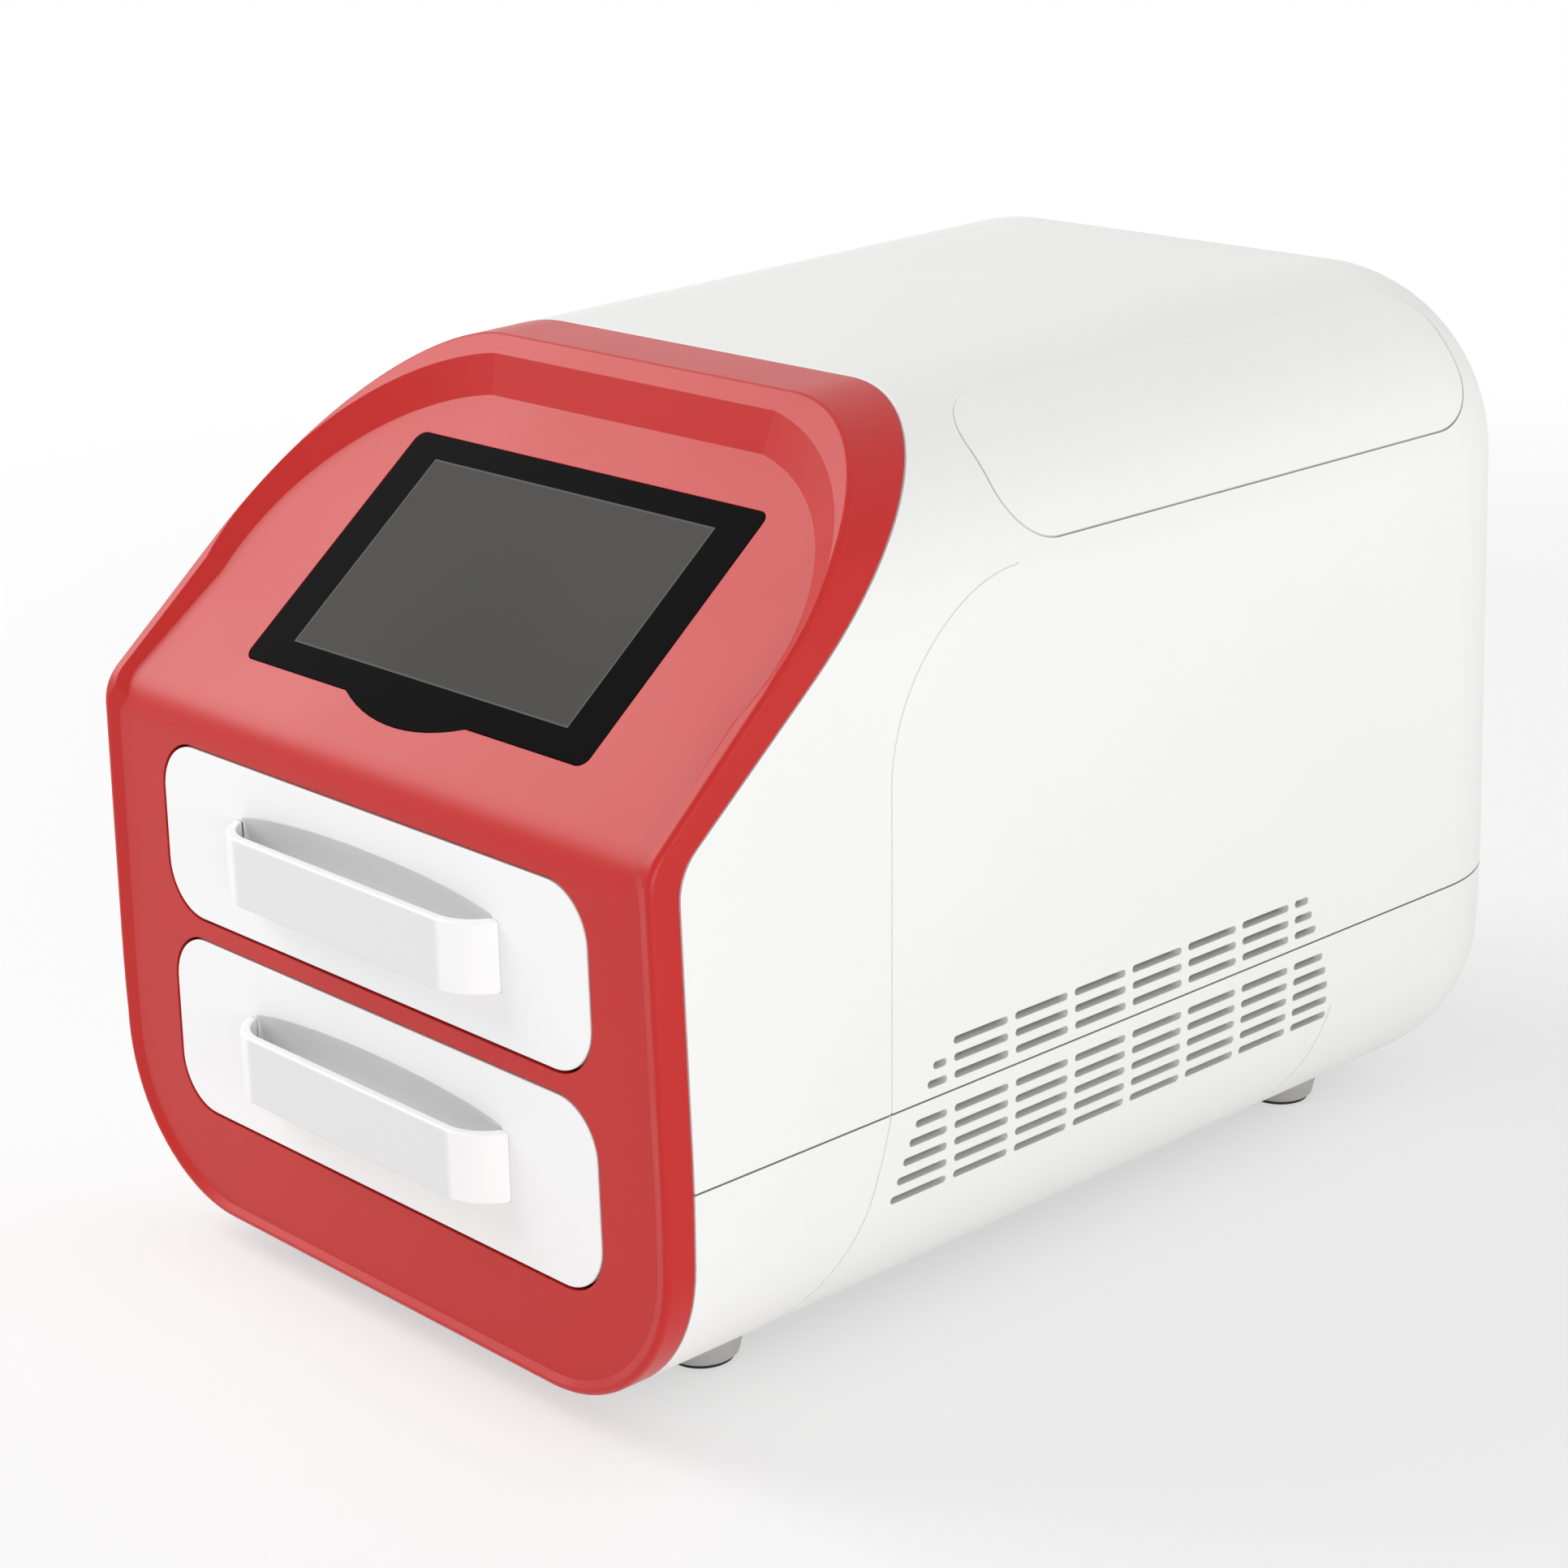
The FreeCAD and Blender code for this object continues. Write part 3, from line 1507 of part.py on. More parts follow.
def on_switch(grow, y_from, y_to):
    """A block as wide and high as the switch's cut-out in the panel, grown by grow."""
    half_x, half_z = switch_half_width + grow, switch_half_height + grow
    return centred_box(switch_across, switch_height, half_x, half_z, y_from, y_to)


def build_switch_housing():
    y = rear_panel_face
    flange = on_switch(switch_lip, y, y + switch_flange)
    body = on_switch(-slide_fit, y - switch_depth, y)
    well = on_switch(-switch_lip, y - switch_depth + 2 * lip, y + 2 * switch_flange)
    half = switch_half_width - slide_fit
    start = (switch_across - half, rocker_y(), switch_height)
    bore = rod(rocker_pin_radius + shaft_fit, start, X_AXIS, 2 * half)
    return fuse([flange, body]).cut([well, bore])


def rocker_y():
    return rear_panel_face - 2.0 * switch_flange


def build_rocker():
    """Rocker with a shallow V face, tipped to its off side, on a pin across the housing."""
    w = switch_half_width - switch_lip - rocker_fit
    h = switch_half_height - switch_lip - rocker_fit - rocker_swing_room
    y, z = rocker_y(), switch_height
    face = rear_panel_face + switch_flange
    x, back, tip = switch_across - w, y - rocker_depth, face + rocker_tip_out
    points = [
        Vector(x, back, z - h * rocker_waist),
        Vector(x, tip, z - h),
        Vector(x, face - rocker_valley, z),
        Vector(x, tip, z + h),
        Vector(x, back, z + h * rocker_waist),
    ]
    body = profile_prism(points, Vector(2 * w, 0, 0))
    pin_half = switch_half_width - slide_fit
    pin = rod(rocker_pin_radius, (switch_across - pin_half, y, z), X_AXIS, 2 * pin_half)
    rocker = fuse([body, pin])
    rocker.rotate(Vector(switch_across, y, z), X_AXIS, rocker_deg / 2)
    return rocker


def build_data_port():
    y = rear_panel_face
    back, front = y - port_depth, y + port_stand_out
    w, h = port_half_width - panel_gap / 2, port_half_height - panel_gap / 2
    shell = centred_box(port_across, port_height, w, h, back, front)
    mouth = centred_box(
        port_across, port_height, w - port_wall, h - port_wall, back + 3 * port_wall, front + lip
    )
    return shell.cut(mouth)


def build_foot(x, y):
    """Cup foot, seated on the curved underside, open below for its rubber pad."""
    profile = [
        Vector(0, 0, pad_recess),
        Vector(foot_tip_radius - foot_rounding, 0, pad_recess),
        Vector(foot_tip_radius, 0, pad_recess + foot_rounding),
        Vector(foot_radius, 0, case_bottom),
        Vector(foot_radius, 0, 2 * case_bottom),
        Vector(0, 0, 2 * case_bottom),
    ]
    face = Part.Face(Part.makePolygon(profile + [profile[0]]))
    cup = face.revolve(ORIGIN, Z_AXIS, 360.0)
    cup.translate(Vector(x, y, 0))
    pad_seat = rod(pad_radius, (x, y, 0), Z_AXIS, pad_height)
    screw_way = [
        rod(screw_radius, (x, y, 0), Z_AXIS, far / 10),
        rod(screw_head_radius + slide_fit, (x, y, 0), Z_AXIS, pad_height + screw_head_height + slide_fit),
    ]
    return cup.cut([pad_seat, case_solid(0)] + screw_way)


def build_pad(x, y):
    return rod(pad_radius, (x, y, 0), Z_AXIS, pad_height)


def build_frame_screws():
    """Screws up through the feet, and down through the chassis floor, into the base's posts."""
    z_foot = pad_height + screw_head_height + slide_fit
    length = case_bottom + screw_length - z_foot - lip
    z_floor = chassis_low + chassis_sheet
    screws = []
    for x, y in FEET.values():
        screws.append(screw((x, y, z_foot), Z_AXIS * -1, length))
        screws.append(screw((x, y, z_floor), Z_AXIS, screw_length))
    return group(screws)


def build_case_screws():
    """Screws that join cover to base, and the chassis to the bezel."""
    z = seam_height - case_boss_reach
    length = case_boss_reach + screw_length - lip
    screws = []
    for y in (case_boss_front, case_boss_rear):
        screws += both_sides(screw((case_boss_across, y, z), Z_AXIS * -1, length))
    y = chassis_start + chassis_sheet
    for height in bezel_boss_heights:
        screws += both_sides(screw((bezel_boss_across, y, height), Y_AXIS, screw_length))
    return group(screws)


def build_case():
    save("front_bezel", build_bezel())
    save("base_shell", build_base_shell())
    save("upper_shell", build_upper_shell())
    save("right_shoulder_panel", build_shoulder_panel(1))
    save("left_shoulder_panel", build_shoulder_panel(-1))
    save("case_screws", build_case_screws())
    save("frame_screws", build_frame_screws())
    for name, (x, y) in FEET.items():
        save(name + "_foot", build_foot(x, y))
    save("foot_pads", group([build_pad(x, y) for x, y in FEET.values()]))


def build_screen():
    save("screen_glass", build_screen_glass())
    save("display_module", build_display())
    save("display_board", build_display_board())
    save("display_ribbon", build_ribbon())


def build_inside():
    save("chassis", build_chassis())
    save("bay_divider", build_bay_divider())
    save("contact_wall", build_contact_wall())
    save("top_deck", build_deck())
    save("main_board", build_main_board())
    save("board_screws", build_board_screws())
    save("board_parts", build_board_parts())
    save("heat_sink", build_heat_sink())
    save("power_supply", build_power_supply())
    lows = [low for low, height in DRAWERS.values()]
    save("drawer_rails", group([build_rails(low) for low in lows]))
    save("contact_blocks", group([build_contact_block(low) for low in lows]))


def build_rear():
    save("rear_panel", build_rear_panel())
    save("rear_screws", build_rear_screws())
    save("fan_frame", build_fan_frame())
    save("fan_rotor", build_fan_rotor())
    save("fan_guard", build_fan_guard())
    save("mains_inlet", build_inlet())
    save("mains_inlet_pins", build_inlet_blades())
    save("switch_housing", build_switch_housing())
    save("switch_rocker", build_rocker())
    save("data_port", build_data_port())


def build_drawers():
    for name, (low, height) in DRAWERS.items():
        save(name + "_drawer_front", build_drawer_front(low, height))
        save(name + "_handle", build_handle(low))
        save(name + "_carrier", build_carrier(low))
        save(name + "_runners", build_runners(low))
        save(name + "_cassette_base", build_cassette_base(low))
        save(name + "_anode", build_anode(low))
        save(name + "_cathode", build_cathode(low))
        save(name + "_cassette_lid", build_lid(low))
        save(name + "_lock_knob", build_knob(low))
        save(name + "_contact_pins", build_contact_pins(low))


def main():
    os.makedirs("parts", exist_ok=True)
    build_case()
    build_screen()
    build_inside()
    build_rear()
    build_drawers()


main()
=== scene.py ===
import json
import math

import bmesh
import bpy
from bpy.props import FloatProperty, FloatVectorProperty, IntProperty, PointerProperty
from mathutils import Euler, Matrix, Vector

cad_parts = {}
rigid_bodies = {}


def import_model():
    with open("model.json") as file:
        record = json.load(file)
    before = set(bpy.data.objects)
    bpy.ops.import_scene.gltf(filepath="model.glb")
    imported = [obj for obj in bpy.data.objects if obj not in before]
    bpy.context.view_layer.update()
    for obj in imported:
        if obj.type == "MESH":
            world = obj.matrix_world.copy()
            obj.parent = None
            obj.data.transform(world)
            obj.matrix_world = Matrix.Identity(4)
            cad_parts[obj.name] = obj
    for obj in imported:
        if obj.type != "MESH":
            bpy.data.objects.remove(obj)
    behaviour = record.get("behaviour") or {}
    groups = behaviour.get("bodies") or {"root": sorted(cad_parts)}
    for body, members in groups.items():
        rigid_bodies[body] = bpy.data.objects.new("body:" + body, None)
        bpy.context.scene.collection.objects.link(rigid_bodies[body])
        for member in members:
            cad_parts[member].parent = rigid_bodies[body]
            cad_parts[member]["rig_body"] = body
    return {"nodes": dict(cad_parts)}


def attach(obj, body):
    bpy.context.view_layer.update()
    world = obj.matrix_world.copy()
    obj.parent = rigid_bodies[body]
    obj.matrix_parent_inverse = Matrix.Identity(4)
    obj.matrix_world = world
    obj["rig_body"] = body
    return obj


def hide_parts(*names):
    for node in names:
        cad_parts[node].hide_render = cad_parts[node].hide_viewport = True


bl_info = {
    "name": "Semi-dry blotter",
    "version": (1, 0, 0),
    "blender": (4, 5, 0),
    "location": "View3D > Sidebar > Blotter",
    "description": "Dresses the blotter's CAD frame with moulded, metal and glass finishes",
    "category": "Object",
}

# The render starts from an empty scene; anything that a start-up file brings is cleared.
for leftover in list(bpy.data.objects):
    bpy.data.objects.remove(leftover)
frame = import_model()

MM = 0.001
DRAWERS = ("upper", "lower")

# The screen's slope starts at the knee and leans back by this angle from level.
KNEE = Vector((0.0, -153.5 * MM, 139.8 * MM))
SLOPE = math.radians(39.15)

# The display behind the glass, measured up the slope from the knee, and the thin line round it
DISPLAY_HALF_WIDTH = 51.1 * MM
DISPLAY_LOW = 27.0 * MM
DISPLAY_HIGH = 85.4 * MM
DISPLAY_LINE = (0.35 * MM, 0.55 * MM)
PRINT_SOFTNESS = 0.08 * MM

# The front faces of the handles, and the depth over which their painted shade fades to the sides
HANDLE_FACE = -162.5 * MM
HANDLE_FADE = (0.02 * MM, 0.25 * MM)

# The groove between cover and base: its height range, and how dark the shade painted into it is
SEAM_LOW = 66.025 * MM
SEAM_HIGH = 66.51 * MM
SEAM_PAINTED_SHADE = 0.12

# Ribbon cable: distance between wires, and where the marked edge wire starts
RIBBON_PITCH = 1.27 * MM
RIBBON_MARK = 8.9 * MM

# Circuit boards: copper tracks and tinned pads
TRACK_LENGTH = 7.5 * MM
TRACK_PITCH = 2.1 * MM
TRACK_GAP = 0.28 * MM
TRACK_SHIFT = (6.0 * MM, 4.0 * MM, 0.0)
PADS_PER_METRE = 330.0
PAD_RADIUS = 0.24

# Mesh work: points that close belong together, and how far an edge must turn to count
WELD = 2e-6
FLAT_TURN = math.radians(0.05)
ROUNDED_TURN = math.radians(28.0)
CREASED_TURN = math.radians(32.0)

# Most values of a noise texture lie in this range.
NOISE_SPAN = (0.3, 0.7)
PLASTIC_IOR = 1.5
GLOSS_DRIFT = 0.03

# The stage: each light's direction from the object, its distance and its size
LIGHT_TARGET = Vector((0.0, 0.0, 0.11))
KEY_LIGHT = ((-0.72, -0.36, 0.62), 2.2, (1.5, 1.5))
SIDE_LIGHT = ((0.95, -0.30, 0.10), 2.4, (2.2, 0.5))
SENSOR = 36.0
CLIP = (0.01, 100.0)
FLOOR_RADIUS = 8.0
FLOOR_FADE = (0.25, 1.0)
WHITE = (1.0, 1.0, 1.0, 1.0)


# ---------------------------------------------------------------- settings


def colour(name, description, value):
    return FloatVectorProperty(
        name=name, description=description, default=value, size=3, min=0, max=1, subtype="COLOR"
    )


def length(name, description, value):
    return FloatProperty(
        name=name, description=description, default=value, min=0, unit="LENGTH", subtype="DISTANCE"
    )


def amount(name, description, value, top=1.0):
    return FloatProperty(
        name=name, description=description, default=value, min=0, max=top, subtype="FACTOR"
    )


def power(name, description, value):
    return FloatProperty(name=name, description=description, default=value, min=0, unit="POWER")


class BlotterColours(bpy.types.PropertyGroup):
    bezel: colour("Bezel", "Red moulding round the front", (0.540, 0.0150, 0.0125))
    case: colour("Case", "Cover and base", (0.870, 0.870, 0.860))
    panel: colour("Shoulder panel", "Panels in the cover's long corners", (0.885, 0.885, 0.877))
    front: colour("Drawer front", "Faces of the two drawers", (0.930, 0.930, 0.930))
    handle: colour("Handle", "Cup handles", (0.930, 0.930, 0.930))
    # Painted shade: this greyer colour on the handles' flat fronts stands in for the shade that
    # falls on them.
    handle_face_shade: colour("Handle face", "Satin fronts of the cup handles", (0.770, 0.772, 0.780))
    border: colour("Screen border", "Black print behind the glass", (0.0010, 0.0010, 0.0010))
    display: colour("Display", "Dark display seen through the glass", (0.0850, 0.0840, 0.0800))
    foot: colour("Foot", "Moulded feet", (0.420, 0.415, 0.405))
    pad: colour("Pad", "Rubber foot pads", (0.012, 0.012, 0.012))
    cassette: colour("Cassette", "Black cassette mouldings", (0.022, 0.023, 0.025))
    lid: colour("Lid", "Cassette lid mouldings", (0.300, 0.305, 0.312))
    knob: colour("Lock knob", "Turning lock on each lid", (0.520, 0.014, 0.010))
    board: colour("Board", "Solder mask of the circuit boards", (0.010, 0.105, 0.042))


class BlotterEdges(bpy.types.PropertyGroup):
    bezel: length("Bezel edges", "Rounding of the bezel's edges as they shade", 0.3 * MM)
    front: length("Drawer front edges", "Rounding of the drawer fronts", 0.35 * MM)
    handle: length("Handle edges", "Rounding of the cup handles", 0.45 * MM)
    glass: length("Glass edge", "Polished edge of the screen glass", 0.15 * MM)
    steps: IntProperty(
        name="Steps", description="Faces across each rounding", default=3, min=1, max=6
    )


class BlotterStage(bpy.types.PropertyGroup):
    camera_place: FloatVectorProperty(
        name="Camera place",
        description="Where the camera stands",
        default=(0.6171, -0.5946, 0.3842),
        size=3,
        unit="LENGTH",
        subtype="TRANSLATION",
    )
    camera_turn: FloatVectorProperty(
        name="Camera turn",
        description="How the camera is turned",
        default=[math.radians(a) for a in (71.6824, 1.0972, 46.6910)],
        size=3,
        unit="ROTATION",
        subtype="EULER",
    )
    lens: FloatProperty(
        name="Lens",
        description="Focal length on a 36 mm sensor",
        default=79.7,
        min=10,
        unit="CAMERA",
    )
    room: amount("Room light", "Even light from all round", 0.60, 2.0)
    key: power("Key light", "Power of the large light on the left", 27.0)
    fill: power("Side light", "Power of the low strip on the right", 22.5)
    floor_glow: amount("Floor glow", "Share of plain white in the floor as it is seen", 0.5)
    floor: colour("Floor", "Pale floor under the instrument", (0.92, 0.92, 0.92))


class BlotterSettings(bpy.types.PropertyGroup):
    colours: PointerProperty(
        type=BlotterColours, name="Colours", description="Colours of the finishes"
    )
    edges: PointerProperty(
        type=BlotterEdges, name="Edges", description="Rounding of the moulded edges"
    )
    stage: PointerProperty(
        type=BlotterStage, name="Stage", description="Camera, lights and floor"
    )


def settings():
    return bpy.context.scene.blotter


# ---------------------------------------------------------------- node helpers


class Sheet:
    """Short calls for laying out the nodes of one material or group."""

    def __init__(self, tree):
        self.tree = tree

    def node(self, kind, **values):
        """One shader node; each value is a setting of the node or the number of a socket."""
        made = self.tree.nodes.new("ShaderNode" + kind)
        for name, value in values.items():
            if hasattr(made, name):
                setattr(made, name, value)
            else:
                made.inputs[name.replace("_", " ")].default_value = value
        return made

    def link(self, source, target):
        self.tree.links.new(source, target)

    def place(self):
        """Where a point of the surface lies in the part's own axes."""
        return self.node("TexCoord").outputs["Object"]

    def axes(self, vector):
        made = self.node("SeparateXYZ")
        self.link(vector, made.inputs[0])
        return made.outputs

    def calc(self, operation, a, b=None):
        """One Math node; each of a and b is a number or a socket."""
        return self.fed(self.node("Math", operation=operation), a, b)

    def multiply_add(self, a, b, c):
        return self.fed(self.node("Math", operation="MULTIPLY_ADD"), a, b, c)

    def fed(self, made, *values):
        for socket, value in zip(made.inputs, values):
            if isinstance(value, (int, float)):
                socket.default_value = value
            elif value is not None:
                self.link(value, socket)
        return made.outputs[0]

    def mix(self, factor, first, second):
        """A colour between first and second, each a colour or a socket."""
        made = self.node("Mix", data_type="RGBA")
        chosen = ((made.inputs[0], factor), (made.inputs[6], first), (made.inputs[7], second))
        for socket, value in chosen:
            if isinstance(value, bpy.types.NodeSocket):
                self.link(value, socket)
            else:
                socket.default_value = (*value, 1.0)
        return made.outputs[2]

    def between(self, value, low, high, from_low=0.0, from_high=1.0):
        """The value moved from one range to another, and held inside it."""
        made = self.node("MapRange")
        for socket, number in zip(made.inputs[1:5], (from_low, from_high, low, high)):
            socket.default_value = number
        self.link(value, made.inputs[0])
        return made.outputs[0]

    def noise(self, place, **values):
        """A noise texture; its height is the output Fac."""
        made = self.node("TexNoise", **values)
        self.link(place, made.inputs["Vector"])
        return made


def group_sheet(name, inputs, outputs):
    """A new shader node group: its sheet, what it is given and what it puts out."""
    tree = bpy.data.node_groups.new(name, "ShaderNodeTree")
    for socket, kind, value in inputs:
        made = tree.interface.new_socket(socket, in_out="INPUT", socket_type=kind)
        made.default_value = value
    for socket, kind in outputs:
        tree.interface.new_socket(socket, in_out="OUTPUT", socket_type=kind)
    source = tree.nodes.new("NodeGroupInput")
    result = tree.nodes.new("NodeGroupOutput")
    return Sheet(tree), source.outputs, result.inputs


NUMBER = "NodeSocketFloat"
VECTOR = "NodeSocketVector"


def make_moulding_group():
    """Fine spark-eroded grain of a moulding tool, with a faint cloudiness in the plastic."""
    sheet, given, result = group_sheet(
        "Moulding grain",
        [("Grain", NUMBER, 1500.0), ("Cloud", NUMBER, 14.0)],
        [("Height", NUMBER), ("Cloudiness", NUMBER)],
    )
    place = sheet.place()
    fine = sheet.noise(place, Detail=3.0, Roughness=0.6)
    broad = sheet.noise(place, Detail=2.0, Roughness=0.5)
    sheet.link(given["Grain"], fine.inputs["Scale"])
    sheet.link(given["Cloud"], broad.inputs["Scale"])
    sheet.link(fine.outputs["Fac"], result["Height"])
    sheet.link(broad.outputs["Fac"], result["Cloudiness"])
    return sheet.tree


def make_scuff_group():
    """Short hairline marks in several directions, from handling."""
    sheet, given, result = group_sheet(
        "Handling marks",
        [("Size", NUMBER, 90.0), ("Share", NUMBER, 0.35)],
        [("Marks", NUMBER)],
    )
    place = sheet.place()
    handled = sheet.noise(place, Scale=25.0, Detail=1.0)
    layers = []
    for turn in (0.4, 1.7):
        mapped = sheet.node("Mapping")
        mapped.inputs["Rotation"].default_value = (turn, turn * 0.7, turn * 1.9)
        mapped.inputs["Scale"].default_value = (1.0, 30.0, 1.0)
        sheet.link(place, mapped.inputs["Vector"])
        texture = sheet.noise(mapped.outputs[0], Detail=4.0, Roughness=0.7)
        sheet.link(given["Size"], texture.inputs["Scale"])
        layers.append(sheet.between(texture.outputs["Fac"], 0.0, 1.0, 0.62, 0.72))
    hairlines = sheet.calc("MAXIMUM", *layers)
    patches = sheet.between(handled.outputs["Fac"], 0.0, 1.0, 0.45, 0.65)
    marks = sheet.calc("MULTIPLY", hairlines, patches)
    sheet.link(sheet.calc("MULTIPLY", marks, given["Share"]), result["Marks"])
    return sheet.tree


def make_brushed_group():
    """Long parallel brushing along one axis of a rolled or drawn metal."""
    sheet, given, result = group_sheet(
        "Brushing",
        [("Stretch", VECTOR, (0.02, 1.0, 1.0)), ("Fineness", NUMBER, 900.0)],
        [("Height", NUMBER), ("Tone", NUMBER)],
    )
    place = sheet.place()
    mapped = sheet.node("Mapping")
    sheet.link(place, mapped.inputs["Vector"])
    sheet.link(given["Stretch"], mapped.inputs["Scale"])
    lines = sheet.noise(mapped.outputs[0], Detail=4.0, Roughness=0.65)
    sheet.link(given["Fineness"], lines.inputs["Scale"])
    rolled = sheet.noise(place, Scale=18.0, Detail=2.0)
    half = sheet.calc("MULTIPLY", rolled.outputs["Fac"], 0.5)
    sheet.link(lines.outputs["Fac"], result["Height"])
    sheet.link(sheet.multiply_add(lines.outputs["Fac"], 0.5, half), result["Tone"])
    return sheet.tree


def make_spangle_group():
    """The frost-flower crystals of galvanised steel."""
    sheet, given, result = group_sheet(
        "Zinc crystals", [("Crystals", NUMBER, 160.0)], [("Tone", NUMBER), ("Height", NUMBER)]
    )
    cells = sheet.node("TexVoronoi", feature="F1")
    sheet.link(sheet.place(), cells.inputs["Vector"])
    sheet.link(given["Crystals"], cells.inputs["Scale"])
    tone = sheet.node("SeparateColor")
    sheet.link(cells.outputs["Color"], tone.inputs[0])
    sheet.link(tone.outputs[0], result["Tone"])
    sheet.link(cells.outputs["Distance"], result["Height"])
    return sheet.tree


GROUP_MAKERS = {
    "moulding": make_moulding_group,
    "marks": make_scuff_group,
    "brushing": make_brushed_group,
    "zinc": make_spangle_group,
}
groups = {}
finishes = {}


def group_node(sheet, key, **values):
    """Places a shared effect in a material with its own values; each group is made once."""
    if key not in groups:
        groups[key] = GROUP_MAKERS[key]()
    made = sheet.node("Group", node_tree=groups[key])
    for name, value in values.items():
        made.inputs[name].default_value = value
    return made.outputs


def new_finish(name, **constants):
    """A material with one Principled shader; constants are set on the shader's own sockets."""
    material = bpy.data.materials.new(name)
    material.use_nodes = True
    tree = material.node_tree
    tree.nodes.clear()
    shader = tree.nodes.new("ShaderNodeBsdfPrincipled")
    output = tree.nodes.new("ShaderNodeOutputMaterial")
    tree.links.new(shader.outputs[0], output.inputs["Surface"])
    for socket, value in constants.items():
        shader.inputs[socket.replace("_", " ")].default_value = value
    finishes[name] = material
    return Sheet(tree), shader.inputs


def bump(sheet, height, into, depth):
    made = sheet.node("Bump", Strength=1.0, Distance=depth)
    sheet.link(height, made.inputs["Height"])
    sheet.link(made.outputs["Normal"], into["Normal"])
    return made


# ---------------------------------------------------------------- finishes


def shaded(tint, share):
    """The tint made darker, or lighter where the share is above 1."""
    return tuple(c * share for c in tint)


def moulded_plastic(name, tint, roughness, grain=1500.0, depth=0.01 * MM, cloud=0.03, marks=0.10,
                    soft=0.0, ior=PLASTIC_IOR):
    """Injection-moulded plastic: fine grain, a faint cloudiness and a few handling marks. soft is
    how far its edges shade as if rounded."""
    sheet, into = new_finish(name, IOR=ior)
    grained = group_node(sheet, "moulding", Grain=grain)
    scuffs = group_node(sheet, "marks", Share=marks)
    tone = sheet.mix(grained["Cloudiness"], tint, shaded(tint, 1.0 - cloud))
    sheet.link(tone, into["Base Color"])
    even = sheet.between(
        grained["Cloudiness"], roughness - GLOSS_DRIFT, roughness + GLOSS_DRIFT, *NOISE_SPAN
    )
    sheet.link(sheet.calc("ADD", even, scuffs["Marks"]), into["Roughness"])
    made = bump(sheet, grained["Height"], into, depth)
    if soft:
        rounded = sheet.node("Bevel", samples=6, Radius=soft)
        sheet.link(rounded.outputs[0], made.inputs["Normal"])
    return sheet, into, tone


def case_plastic(name, tint):
    """Satin case moulding, with shade painted into the groove between cover and base."""
    sheet, into, tone = moulded_plastic(name, tint, 0.44, grain=1100.0)
    # Painted shade: the colour is darkened between the groove's low and high heights, in place of
    # the shade that falls in it.
    height = sheet.axes(sheet.place())["Z"]
    above = sheet.calc("GREATER_THAN", height, SEAM_LOW)
    below = sheet.calc("LESS_THAN", height, SEAM_HIGH)
    groove_painted_shade = sheet.calc("MULTIPLY", above, below)
    sheet.link(sheet.mix(groove_painted_shade, tone, shaded(tint, SEAM_PAINTED_SHADE)), into["Base Color"])


def handle_plastic(name, tint, face):
    """Moulded handle, its flat front face painted a little greyer than the rest as shade."""
    sheet, into, tone = moulded_plastic(name, tint, 0.42, grain=1300.0, depth=0.008 * MM)
    # Painted shade: the flat front face takes the greyer colour, fading out just behind it.
    forward = sheet.axes(sheet.place())["Y"]
    near, far = (HANDLE_FACE + fade for fade in HANDLE_FADE)
    flat = sheet.between(forward, 1.0, 0.0, near, far)
    sheet.link(sheet.mix(flat, tone, face), into["Base Color"])


def rubber(name, tint):
    """Dull rubber with a coarse, slightly worn skin."""
    sheet, into = new_finish(name, IOR=PLASTIC_IOR, Specular_IOR_Level=0.35)
    grained = group_node(sheet, "moulding", Grain=700.0, Cloud=60.0)
    sheet.link(sheet.mix(grained["Cloudiness"], tint, shaded(tint, 1.9)), into["Base Color"])
    sheet.link(sheet.between(grained["Height"], 0.65, 0.9), into["Roughness"])
    bump(sheet, grained["Height"], into, 0.06 * MM)


def brushed_metal(name, tint, roughness, stretch=(0.02, 1.0, 1.0), fineness=900.0):
    """Rolled or drawn metal with brushing along one axis."""
    sheet, into = new_finish(name, Metallic=1.0)
    brushed = group_node(sheet, "brushing", Stretch=stretch, Fineness=fineness)
    sheet.link(sheet.mix(brushed["Tone"], shaded(tint, 0.80), tint), into["Base Color"])
    sheen = sheet.between(brushed["Tone"], roughness - 0.08, roughness + 0.12, *NOISE_SPAN)
    sheet.link(sheen, into["Roughness"])
    bump(sheet, brushed["Height"], into, 0.012 * MM)


def galvanised_steel(name, tint):
    """Folded zinc-coated sheet, with its crystals and the brushing of the rolls."""
    sheet, into = new_finish(name, Metallic=1.0)
    zinc = group_node(sheet, "zinc")
    brushed = group_node(sheet, "brushing", Fineness=500.0)
    rolled = sheet.calc("MULTIPLY", brushed["Tone"], 0.4)
    crystals = sheet.multiply_add(zinc["Tone"], 0.6, rolled)
    sheet.link(sheet.mix(crystals, shaded(tint, 0.72), tint), into["Base Color"])
    sheet.link(sheet.between(crystals, 0.34, 0.58), into["Roughness"])
    bump(sheet, zinc["Height"], into, 0.02 * MM)


